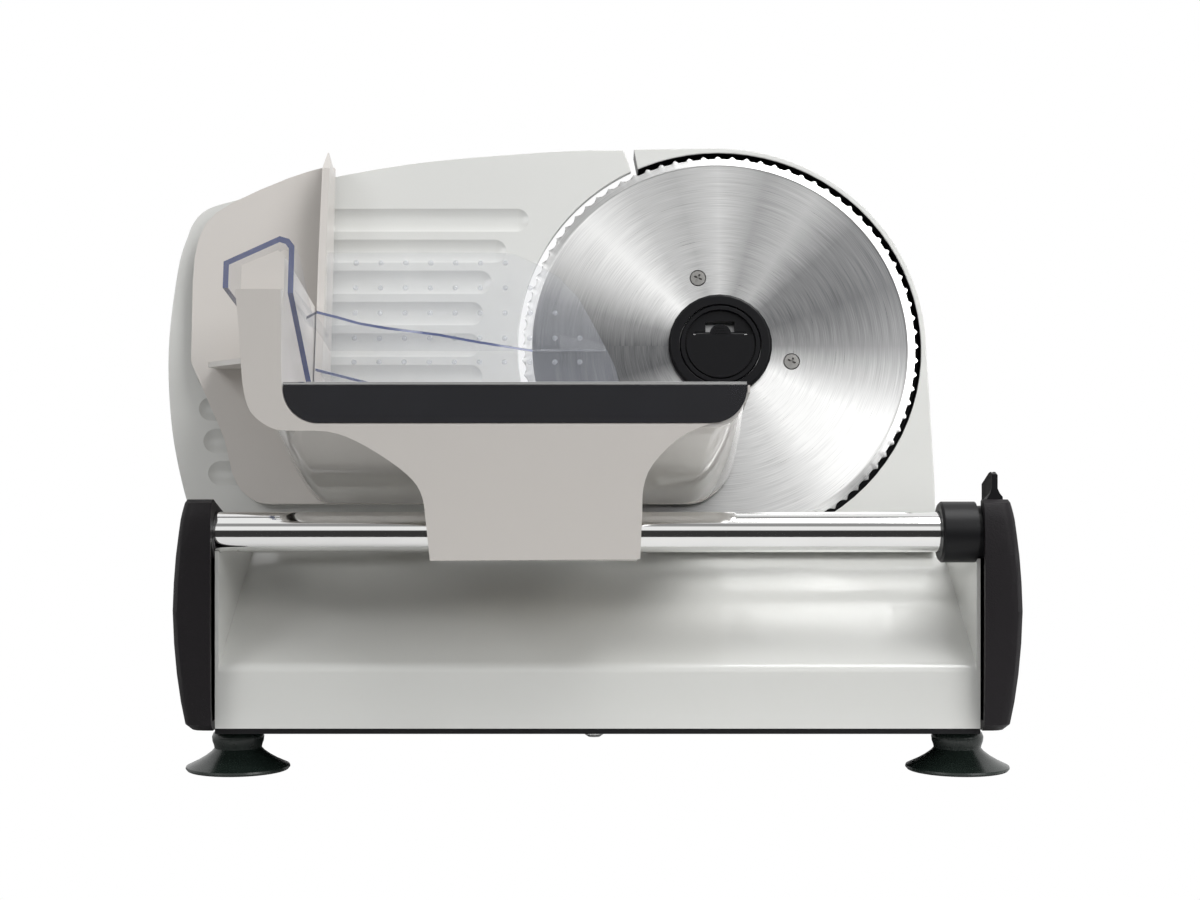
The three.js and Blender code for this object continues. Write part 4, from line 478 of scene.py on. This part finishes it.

# %% Blade material
# Painted highlights and painted shade: tones by angle round the spindle, standing in for the fans of reflected light
# on the flat and on the ground rim.
PAINTED_FAN_TONES = [(-180, 0.12), (-162, 0.10), (-142, 0.38), (-120, 0.44), (-105, 0.28), (-92, 0.52), (-64, 0.70), (-48, 1.0),
        (-28, 0.96), (-14, 0.55), (0, 0.24), (20, 0.13), (42, 0.18), (58, 0.45), (74, 0.34), (90, 0.62), (104, 0.48),
        (120, 0.60), (136, 1.0), (150, 0.70), (165, 0.28), (180, 0.12)]
PAINTED_RIM_TONES = [(-180, 0.45), (-120, 0.48), (-106, 0.12), (-76, 0.12), (-62, 0.85), (35, 1.0), (52, 0.85), (76, 0.60),
       (104, 0.60), (126, 0.60), (150, 0.55), (180, 0.45)]
RIM_STARTS = 89.7
FINE_RINGS, SOFT_RINGS = 2600.0, 420.0
# The painted shade colour and the painted highlight colour of the steel.
PAINTED_SHADE_STEEL, PAINTED_HIGHLIGHT_STEEL = (0.045, 0.047, 0.052), (0.94, 0.94, 0.93)
scratches = finish.noise(1.0, 3.0, finish.vector(distance * FINE_RINGS, turn * 3.0, 0.0))
soft_rings = finish.noise(1.0, 2.0, finish.vector(distance * SOFT_RINGS, turn * 1.5, 2.0))
painted_flat_fans, painted_rim_fans = (finish.node("ShaderNodeValToRGB", {"tones": tones}, {"Fac": full_turn}) for tones in (PAINTED_FAN_TONES, PAINTED_RIM_TONES))
rim_share = ((distance - RIM_STARTS * MM) * 5000.0).clipped()
# The painted fans, with the scratches' real grain mixed in, tint the base colour between painted shade and painted
# highlight.
fan = rim_share * painted_rim_fans + (1 - rim_share) * painted_flat_fans
bright = (fan * (1.0 + 0.5 * (scratches - 0.5)) + 0.14 * (scratches - 0.5) + 0.10 * (soft_rings - 0.5)).clipped()
finish.set(
    Base_Color=finish.tint(bright, PAINTED_SHADE_STEEL, PAINTED_HIGHLIGHT_STEEL),
    Metallic=1.0,
    Roughness=0.24 + 0.12 * scratches,
    Normal=finish.bump(scratches + 0.5 * soft_rings, 0.4, 0.00006),
)
blade_steel = finish.material
print("blade nodes", len(finish.tree.nodes))

# %% Blade in its place
EDGE_Y = 1.0
SCREW_ANGLES, SCREW_CIRCLE, SCREW_HOLE = (107, -12.6, 227.4), 35, 4.05
blade.data.transform(Matrix.Translation((BLADE_X * MM, EDGE_Y * MM, 0)) @ Matrix.Rotation(math.pi / 2, 4, "X"))
screw_places = [(BLADE_X + SCREW_CIRCLE * math.cos(math.radians(angle)), 0,
                 SCREW_CIRCLE * math.sin(math.radians(angle))) for angle in SCREW_ANGLES]
for place in screw_places:
    cut(blade, cylinder(SCREW_HOLE, 12, place, ALONG_Y, 24))
settle(blade)
finish_piece(blade, "blade_disc", blade_steel, "blade_drive", "blade_steel", "blade", smooth=20)

# %% [markdown]
# ## Screws of the blade
# Three countersunk screws hold the blade to its carrier. Each is turned, with a low head, and the cross
# recess in its head is cut by two crossed bars.

# %% Screws with a cross recess
SCREW = [(1.9, 5.5), (1.9, 1.5), (3.7, 1.2), (3.75, 0.1), (3.5, -0.25), (1.0, -0.3)]
CROSS_BAR, CROSS_TURNS = (4.0 * MM, 2.4 * MM, 0.95 * MM), (25, 115)
for number, place in enumerate(screw_places, 1):
    screw = turned(SCREW, 32, ("X", -90), place)
    for tilt in CROSS_TURNS:
        clear()
        bpy.ops.mesh.primitive_cube_add(size=1, location=Vector(place) * MM, rotation=(0, math.radians(tilt), 0),
                                        scale=CROSS_BAR)
        cut(screw, bpy.context.object)
    settle(screw)
    finish_piece(screw, f"blade_screw_head_{number}", screw_steel, "blade_drive", "steel", f"blade_screw_{number}")

# %% [markdown]
# ## Guide rod
# A plain ground and plated rod with chamfered ends. It is long and polished, so it is drawn with many
# points round it, because a coarse one would show flats in its reflections.

# %% Guide rod
ROD = [(7.7, -172), (8.7, -171), (8.7, 171), (7.7, 172)]
ROD_MIDDLE = (0, -88, 105.5)
rod = turned(ROD, 96, ("Y", 90), ROD_MIDDLE)
settle(rod, UPRIGHT)
finish_piece(rod, "polished_guide_rod", chrome, "frame", "chrome", "guide_rod")

# %% [markdown]
# ## Suction feet
# Each rubber foot has a bulb above a wide thin cup. The profile follows the rubber from the hollow under
# the cup, round its lip and up to the neck.

# %% Feet
FOOT = [(2.3, 9.6), (2.3, 6), (8, 5.2), (14, 3.2), (20.6, 0), (22.0, 0), (22.8, 0.9), (22.6, 1.7), (18, 3.9),
        (14.4, 6.0), (11.6, 8.1), (10.3, 9.6), (10.6, 11.0), (11.2, 12.6), (11.4, 14.6), (10.8, 16.2), (9.6, 17.4),
        (9.5, 18.5), (2.4, 18.5)]
for end, y in (("front", -70), ("rear", 84)):
    for side, x in (("left", -159), ("right", 159)):
        foot = turned(FOOT, 64, None, (x, y, 0))
        settle(foot, UPRIGHT)
        name = f"suction_foot_{end}_{side}"
        finish_piece(foot, f"rubber_foot_{end}_{side}", foot_rubber, "frame", "rubber", name, smooth=50)

# %% [markdown]
# ## Painted and moulded shells
# These keep the CAD's shape. The bevel widths follow the real parts: folded sheet has a tight radius,
# and the mouldings of the carriage and the caps have softer ones.

# %% Shells
housing = dressed("blade_housing", paint, "frame", "painted_metal", bevel=0.9, segments=3)
dressed("motor_cover", paint, "frame", "painted_metal", bevel=0.7)
dressed("base_housing", paint, "frame", "painted_metal", bevel=0.6)
dressed("gauge_support", paint, "frame", "painted_metal", bevel=0.6)
carriage = dressed("carriage_body", carriage_plastic, "carriage", "carriage_plastic", bevel=0.6)
dressed("left_side_cap", cap_plastic, "frame", "black_plastic", bevel=0.8)
dressed("right_side_cap", cap_plastic, "frame", "black_plastic", bevel=0.8)
dressed("carriage_lock_lever", plain_black, "lever", "black_plastic", bevel=0.4)
dressed("bottom_plate", plain_black, "frame", "black_plastic", bevel=0.3)
dressed("blade_hub", gloss_black, "blade_drive", "black_gloss", bevel=0.2)
dressed("lock_cap", gloss_black, "lock", "black_gloss", bevel=0.2)
dressed("lock_flap", gloss_black, "flap", "black_gloss", bevel=0.15)
dressed("thickness_knob", cap_plastic, "knob", "black_plastic", bevel=0.5)
dressed("switch_body", plain_black, "frame", "black_plastic", bevel=0.3)
dressed("power_rocker", gloss_black, "rocker", "black_plastic", bevel=0.4)
dressed("cord_gland", plain_black, "frame", "black_plastic", bevel=0.3)

# %% [markdown]
# Two of these shells have a second finish. The round recess behind the blade is painted black inside, as painted
# shade for the shadow in it, which is what makes the teeth stand out, and the carriage's hull under the tray is
# polished while its walls are satin.
# Faces are picked by their place in the leaning frame and given the second material slot.

# %% Recess painted black as shade, and polished hull
RECESS_RADIUS = 99.3


def in_recess(at, facing):
    return 0.2 < at.y < 13 and math.hypot(at.x - BLADE_X, at.z) < RECESS_RADIUS


def on_hull(at, facing):
    return at.z < -45 and -117 < at.y < -10 and -137.5 < at.x < 65 and facing.y < 0.5


def second_finish(piece, material, belongs):
    piece.data.materials.append(material)
    count = 0
    for face in piece.data.polygons:
        centre = OFF @ face.center / MM
        facing = OFF.to_3x3() @ face.normal
        if belongs(centre, facing):
            face.material_index = 1
            count += 1
    print(piece.name, count, "faces in", material.name)


# Painted shade: the recess faces get black plastic where the recess lies in shadow.
second_finish(housing, plain_black, in_recess)
second_finish(carriage, hull_plastic, on_hull)

# %% [markdown]
# ## Tray
# The tray is thin polished sheet, folded down at the front. A fold has a radius about as large as the sheet
# is thick, and that small round edge is the bright line along the top. Here it is a slim bar in the sheet.

# %% Tray with its round fold
dressed("stainless_tray", tray_steel, "carriage", "tray_steel", bevel=0)
FOLD_LEFT, FOLD_RIGHT, FOLD_RADIUS, FOLD_Y, FOLD_Z = -129.9, 61.7, 0.8, -125.6, 168.4
fold = cylinder(FOLD_RADIUS, FOLD_RIGHT - FOLD_LEFT, ((FOLD_LEFT + FOLD_RIGHT) / 2, FOLD_Y, FOLD_Z), ALONG_X, 32)
bpy.ops.object.transform_apply(location=True, rotation=True, scale=True)
settle(fold, UPRIGHT)
finish_piece(fold, "tray_folded_edge", chrome, "carriage", "tray_steel", smooth=40)

# %% [markdown]
# ## Gauge plate
# The food slides along this plate. It is pressed sheet: a smooth outline that follows the blade's edge,
# and long shallow flutes across its face that keep wet food from sticking. The outline is drawn as a flat
# curve and given its thickness, and each flute is cut with a long round-ended roller that dips only a
# little way into the sheet, which gives the soft hollow and the round end of a pressed one.


# %% An outline drawn as a flat curve, made a plate
def plate(points, front, back, bevel):
    clear()
    drawing = bpy.data.curves.new("outline", "CURVE")
    drawing.dimensions = "2D"
    drawing.fill_mode = "BOTH"
    drawing.extrude = ((back - front) / 2 - bevel) * MM
    drawing.bevel_depth = bevel * MM
    drawing.bevel_resolution = 2
    drawing.offset = -bevel * MM
    line = drawing.splines.new("POLY")
    line.points.add(len(points) - 1)
    for point, (x, z) in zip(line.points, points):
        point.co = (x * MM, z * MM, 0, 1)
    line.use_cyclic_u = True
    piece = bpy.data.objects.new("outline", drawing)
    bpy.context.scene.collection.objects.link(piece)
    take(piece)
    bpy.ops.object.convert(target="MESH")
    piece = bpy.context.object
    piece.data.transform(Matrix.Translation((0, (front + back) / 2 * MM, 0)) @ Matrix.Rotation(math.pi / 2, 4, "X"))
    take(piece)
    bpy.ops.object.mode_set(mode="EDIT")
    bpy.ops.mesh.select_all(action="SELECT")
    bpy.ops.mesh.remove_doubles(threshold=MERGE)
    bpy.ops.mesh.normals_make_consistent(inside=False)
    bpy.ops.object.mode_set(mode="OBJECT")
    return piece


def smooth_line(points, steps):
    line = []
    for i in range(len(points) - 1):
        a, b, c, d = (Vector(points[min(max(i + k, 0), len(points) - 1)]) for k in (-1, 0, 1, 2))
        for step in range(steps):
            t = step / steps
            line.append(tuple(0.5 * (2 * b + (c - a) * t + (2 * a - 5 * b + 4 * c - d) * t * t
                                     + (3 * b - a - 3 * c + d) * t ** 3)))
    return line + [tuple(points[-1])]


# %% [markdown]
# The left edge is a smooth line through points taken along it. The right edge is an arc that stays less
# than 2 mm outside the blade's teeth.

# %% Outline of the plate
ARC, THICK, PLATE_BOTTOM = 96.7, 3.6, -90.8
left_edge = smooth_line([(-190, -79), (-194.4, -73.6), (-202.2, -40.9), (-205.4, -2), (-202.4, 37.5), (-198.2, 54.6),
                         (-195.4, 61.6), (-191.4, 66.4), (-186, 69.4), (-178, 71.8), (-149.6, 79.6), (-91.5, 90.8),
                         (-33.1, 96.3), (-3.9, 97.8)], 6)
arc_angles = [math.radians(half_degrees / 2) for half_degrees in range(232, 501, 3)]
arc = [(BLADE_X + ARC * math.cos(angle), ARC * math.sin(angle)) for angle in arc_angles]
right_edge = [(12.5, 97.8), (14.8, 91.4)] + [point for point in arc if point[1] > PLATE_BOTTOM + 0.3]
bottom_edge = [(-0.2, PLATE_BOTTOM), (-158, PLATE_BOTTOM)]
gauge = plate(left_edge + right_edge + bottom_edge, 0, THICK, 0.4)
print("outline", len(left_edge + right_edge + bottom_edge), "points")

# %% Flutes
TOP_FLUTE, FLUTE_PITCH, FLUTE_COUNT = 62.4, 15.5, 9
LEFT_INSET, RIGHT_INSET = 14, 18
ROLLER, DIP = 14.6, 1.2
flutes = []
for row in range(FLUTE_COUNT):
    z = TOP_FLUTE - FLUTE_PITCH * row
    left = min((abs(p[1] - z), p[0]) for p in left_edge)[1] + LEFT_INSET
    right = BLADE_X - math.sqrt(ARC ** 2 - z ** 2) - RIGHT_INSET
    flutes.append((left, right, z))
    clear()
    bpy.ops.mesh.primitive_uv_sphere_add(segments=128, ring_count=65, radius=ROLLER * MM, rotation=ALONG_X)
    roller = bpy.context.object
    bpy.ops.object.transform_apply(location=False, rotation=True, scale=True)
    bpy.ops.object.mode_set(mode="EDIT")
    mesh = bmesh.from_edit_mesh(roller.data)
    for vertex in mesh.verts:
        vertex.select = vertex.co.x > 0.1 * MM
    mesh.select_flush_mode()
    inner = math.sqrt(2 * ROLLER * DIP - DIP ** 2)
    bpy.ops.transform.translate(value=((right - left - 2 * inner) * MM, 0, 0))
    bpy.ops.object.mode_set(mode="OBJECT")
    roller.data.transform(Matrix.Translation(((left + inner) * MM, (DIP - ROLLER) * MM, z * MM)))
    cut(gauge, roller)
print("flutes", len(flutes))

# %% [markdown]
# A roller leaves a crease where its hollow meets the flat. Pressed sheet has none, so the creases are found
# by their place and rounded with a wide edit-mode bevel, until ridge and hollow run into each other.

# %% Creases rounded
CREASE_REACH, CREASE_WIDTH = 7.6, 1.9
take(gauge)
bpy.ops.object.mode_set(mode="EDIT")
bpy.ops.mesh.select_all(action="DESELECT")
mesh = bmesh.from_edit_mesh(gauge.data)
for edge in mesh.edges:
    middle = (edge.verts[0].co + edge.verts[1].co) / 2 / MM
    near = any(left - 1 < middle.x < right + 1 and abs(middle.z - z) < CREASE_REACH for left, right, z in flutes)
    on_face = all(abs(v.co.y) < 0.02 * MM for v in edge.verts)
    edge.select = near and on_face and len(edge.link_faces) == 2 and edge.calc_face_angle(0) > 0.1
print("creases", sum(edge.select for edge in mesh.edges))
bpy.ops.mesh.bevel(offset=CREASE_WIDTH * MM, segments=6, affect="EDGES", clamp_overlap=True)
bpy.ops.object.mode_set(mode="OBJECT")
settle(gauge)
finish_piece(gauge, "fluted_gauge_plate", paint, "gauge", "painted_metal", "gauge_plate", smooth=30)
apply_modifier(gauge, "WEIGHTED_NORMAL", keep_sharp=True, weight=60)

# %% [markdown]
# ## Clear pusher
# The pusher is one clear moulding. Looked at through its face it is nearly invisible, with a slight grey
# veil, but along its edges the eye looks through the whole width of the sheet, and there it is dark blue.
# Two finishes do this: the broad faces get the clear one, and the narrow strips round them the blue one. The
# flange at the left and the end of the hook are seen edge on, so they are blue too.


# %% Clear plastic, on its faces and along its edges
def clear_finish(name, color, other, alpha, roughness):
    finish = Finish(name)
    haze = finish.noise(90.0, 3.0)
    finish.set(
        Base_Color=finish.tint(haze, color, other),
        Roughness=roughness + 0.04 * haze,
        Alpha=alpha + 0.06 * (haze - 0.5),
        Specular_IOR_Level=0.8,
    )
    return finish.material


clear_plastic = clear_finish("clear_plastic", (0.50, 0.53, 0.60), (0.58, 0.61, 0.68), 0.10, 0.04)
blue_edge = clear_finish("clear_plastic_edge", (0.032, 0.050, 0.16), (0.06, 0.085, 0.22), 0.88, 0.10)

# %% Pusher, with its narrow strips in blue
STRIP_WIDTH, FRONT_PART_Y = 1.35, -33.5
FLANGE_RIGHT, HOOK_RIGHT = -120, -150
pusher = dressed("pusher", clear_plastic, "pusher", "clear_plastic", bevel=0)
pusher.data.materials.append(blue_edge)
for face in pusher.data.polygons:
    around = sum((pusher.data.vertices[a].co - pusher.data.vertices[b].co).length for a, b in face.edge_keys)
    at, facing = OFF @ face.center / MM, OFF.to_3x3() @ face.normal
    strip = face.area / around < STRIP_WIDTH * MM
    forward = facing.y < -0.5 and (strip or at.x < FLANGE_RIGHT)
    hook_end = facing.z < -0.5 and at.x < HOOK_RIGHT
    face.material_index = 1 if at.y < FRONT_PART_Y and (forward or hook_end) else 0
print("strips", sum(face.material_index for face in pusher.data.polygons), "of", len(pusher.data.polygons))

# %% [markdown]
# The face that meets the food has rows of small domes, so that food doesn't cling to it. One dome is half
# of a flattened sphere. It is copied to each place, and the copies are joined into one piece.

# %% Domes on the face
DOME_RADIUS, DOME_PITCH, DOME_LEFT, FACE_Y = 1.3, 11.6, -112.7, -29.98
DOME_ROWS = [(32.7, 7), (20.7, 8), (8.7, 9), (-3.3, 10), (-14.6, 10)]
clear()
bpy.ops.mesh.primitive_uv_sphere_add(segments=12, ring_count=8, radius=DOME_RADIUS * MM, rotation=ALONG_Y)
dome = bpy.context.object
bpy.ops.object.transform_apply(location=False, rotation=True, scale=True)
bpy.ops.object.mode_set(mode="EDIT")
bpy.ops.mesh.select_all(action="SELECT")
bpy.ops.mesh.bisect(plane_co=(0, 0, 0), plane_no=(0, 1, 0), use_fill=True, clear_outer=True)
bpy.ops.mesh.select_all(action="SELECT")
bpy.ops.transform.resize(value=(1, 0.55, 1), center_override=(0, 0, 0))
bpy.ops.mesh.normals_make_consistent(inside=False)
bpy.ops.object.mode_set(mode="OBJECT")
domes = []
for z, count in DOME_ROWS:
    for column in range(count):
        copy = dome.copy()
        copy.data = dome.data.copy()
        copy.data.transform(Matrix.Translation(((DOME_LEFT + DOME_PITCH * column) * MM, FACE_Y * MM, z * MM)))
        bpy.context.scene.collection.objects.link(copy)
        domes.append(copy)
bpy.data.objects.remove(dome)
take(domes[0])
for copy in domes:
    copy.select_set(True)
bpy.ops.object.join()
dotted = settle(bpy.context.object)
dome_plastic = clear_finish("clear_dome", (0.70, 0.73, 0.78), (0.52, 0.54, 0.58), 0.22, 0.04)
finish_piece(dotted, "pusher_domes", dome_plastic, "pusher", "clear_plastic", smooth=60)

# %% [markdown]
# ## The works inside
# Gears, motor, bushes and screws are out of sight in the photograph. They keep their CAD shapes and get
# the finish of the real part.

# %% Materials for the CAD nodes that stay
inside = {
    bright_steel: ["flap_pin", "spindle", "armature", "motor_can", "cam_follower_pin", "gauge_post_left",
                   "gauge_post_right", "base_screw_front", "base_screw_rear", "rear_guide_bar"]
    + [f"foot_screw_{end}_{side}" for end in ("front", "rear") for side in ("left", "right")],
    cast_metal: ["blade_carrier", "gear_housing", "gear_housing_plate"],
    bronze: ["spindle_bush_front", "spindle_bush_rear"],
    nylon: ["drive_gear", "gauge_block", "thickness_cam_shaft", "rod_bush_left", "rod_bush_right", "glide_shoe"],
    plain_black: ["motor_fan"],
    board_green: ["rectifier_board"],
}
for material, names in inside.items():
    for name in names:
        node = frame["nodes"][name]
        node.data.materials.clear()
        node.data.materials.append(material)
print("inner nodes", sum(len(names) for names in inside.values()))

# %% [markdown]
# ## Floor and backdrop
# The machine stands on a pale floor in front of white. The camera sees the floor as plain white, apart from a
# round patch where a fifth of its matt surface shows. Object coordinates start at the middle of the sheet,
# and the sheet reaches far back, so the patch lies 1.5 m behind the machine: no shadow shows at the feet, and
# a view from above has a faint grey spot there. Shifting the mapping by 1.5 m would put it under the feet.

# %% Floor
clear()
bpy.ops.mesh.primitive_plane_add(size=3.6, location=(0, 1.5, 0))
floor = bpy.context.object
floor.name = "studio_floor"
finish = Finish("white_floor")
finish.set(Base_Color=(0.86, 0.86, 0.86, 1.0), Roughness=0.9)
glow = finish.node("ShaderNodeEmission", None, {"Color": (1, 1, 1, 1), "Strength": 1.0})
seen = finish.node("ShaderNodeLightPath", output="Is Camera Ray")
spread = finish.node("ShaderNodeMapping", None, {"Vector": finish.place(), "Location": (0, -0.02, 0),
                                                 "Scale": (1.0, 1.5, 1.0)})
PATCH_RADIUS, MATT_SHARE = 0.17, 0.20
clean = ((finish.length(spread) - PATCH_RADIUS) * 6.0).clipped()
white_share = seen * (1.0 - MATT_SHARE + MATT_SHARE * clean)
mixed = finish.node("ShaderNodeMixShader", None,
                    {0: white_share, 1: Wire(finish, finish.shader.outputs[0]), 2: glow})
finish.feed(finish.tree.nodes["Material Output"].inputs["Surface"], mixed)
floor.data.materials.append(finish.material)
print("floor", floor.name)

# %% [markdown]
# ## Light
# One broad soft box above and to the right gives the tops their brightness and throws the carriage's shadow
# to the left, two beside the camera fill the front, and the white surroundings do the rest. None stands
# where the blade would mirror it. Polished metal shows what stands round it, so for reflections the room
# has bands by height: dark at eye level and below, the unlit room behind the photographer, then a pale
# window, a grey wall, the soft box and a dark gap overhead. The camera, and a look through the clear
# plastic, see plain white, and matt surfaces get a low even light.

# %% Surroundings
world = bpy.data.worlds.new("studio")
bpy.context.scene.world = world
world.use_nodes = True
studio = Nodes(world.node_tree)
background = studio.tree.nodes["Background"]
ROOM = [(-180, 0.95), (-100, 0.95), (-80, 0.04), (9, 0.04), (14, 0.95), (31, 0.95), (37, 0.30), (49, 0.30),
        (55, 0.95), (91, 0.95), (94, 0.08), (100, 0.08), (103, 0.95)]
AMBIENT = 0.20
seen = studio.node("ShaderNodeLightPath", output="Is Camera Ray")
coordinates = studio.node("ShaderNodeTexCoord", output="Generated")
direction = studio.node("ShaderNodeSeparateXYZ", None, {0: coordinates})
height_angle = studio.node("ShaderNodeMath", {"operation": "ARCTAN2"},
                           {0: direction.other("Z"), 1: direction.other("Y") * -1.0})
room_share = studio.node("ShaderNodeMapRange", None, {0: height_angle, 1: -math.pi, 2: math.pi})
room = studio.node("ShaderNodeValToRGB", {"tones": ROOM}, {0: room_share})
white = seen.or_more(seen.other("Is Transmission Ray")).or_more(seen.other("Is Glossy Ray") * room)
studio.feed(background.inputs["Strength"], white.or_more(seen.other("Is Diffuse Ray") * AMBIENT))
studio.feed(background.inputs["Color"], (1.0, 1.0, 1.0, 1.0))
print("world", world.name)


# %% [markdown]
# A soft box is an area lamp turned towards its target. A lamp shines along its own minus Z, so that axis
# is tracked to the line from the lamp to the target.


# %% Soft boxes
def soft_box(name, place, target, size, power):
    clear()
    bpy.ops.object.light_add(type="AREA", location=place)
    lamp = bpy.context.object
    lamp.name = name
    lamp.data.shape = "RECTANGLE"
    lamp.data.size, lamp.data.size_y = size
    lamp.data.energy = power
    lamp.rotation_euler = (Vector(target) - Vector(place)).to_track_quat("-Z", "Y").to_euler()


soft_box("overhead_box", (0.50, -0.35, 1.25), (0, 0, 0.1), (0.9, 0.6), 12.0)
soft_box("right_box", (0.90, -1.05, 0.70), (0, 0, 0.15), (0.8, 0.6), 6.5)
soft_box("left_box", (-0.95, -1.05, 0.85), (0, 0, 0.15), (0.6, 0.6), 4.2)
bpy.context.scene.view_settings.view_transform = "Standard"
print("lamps set")
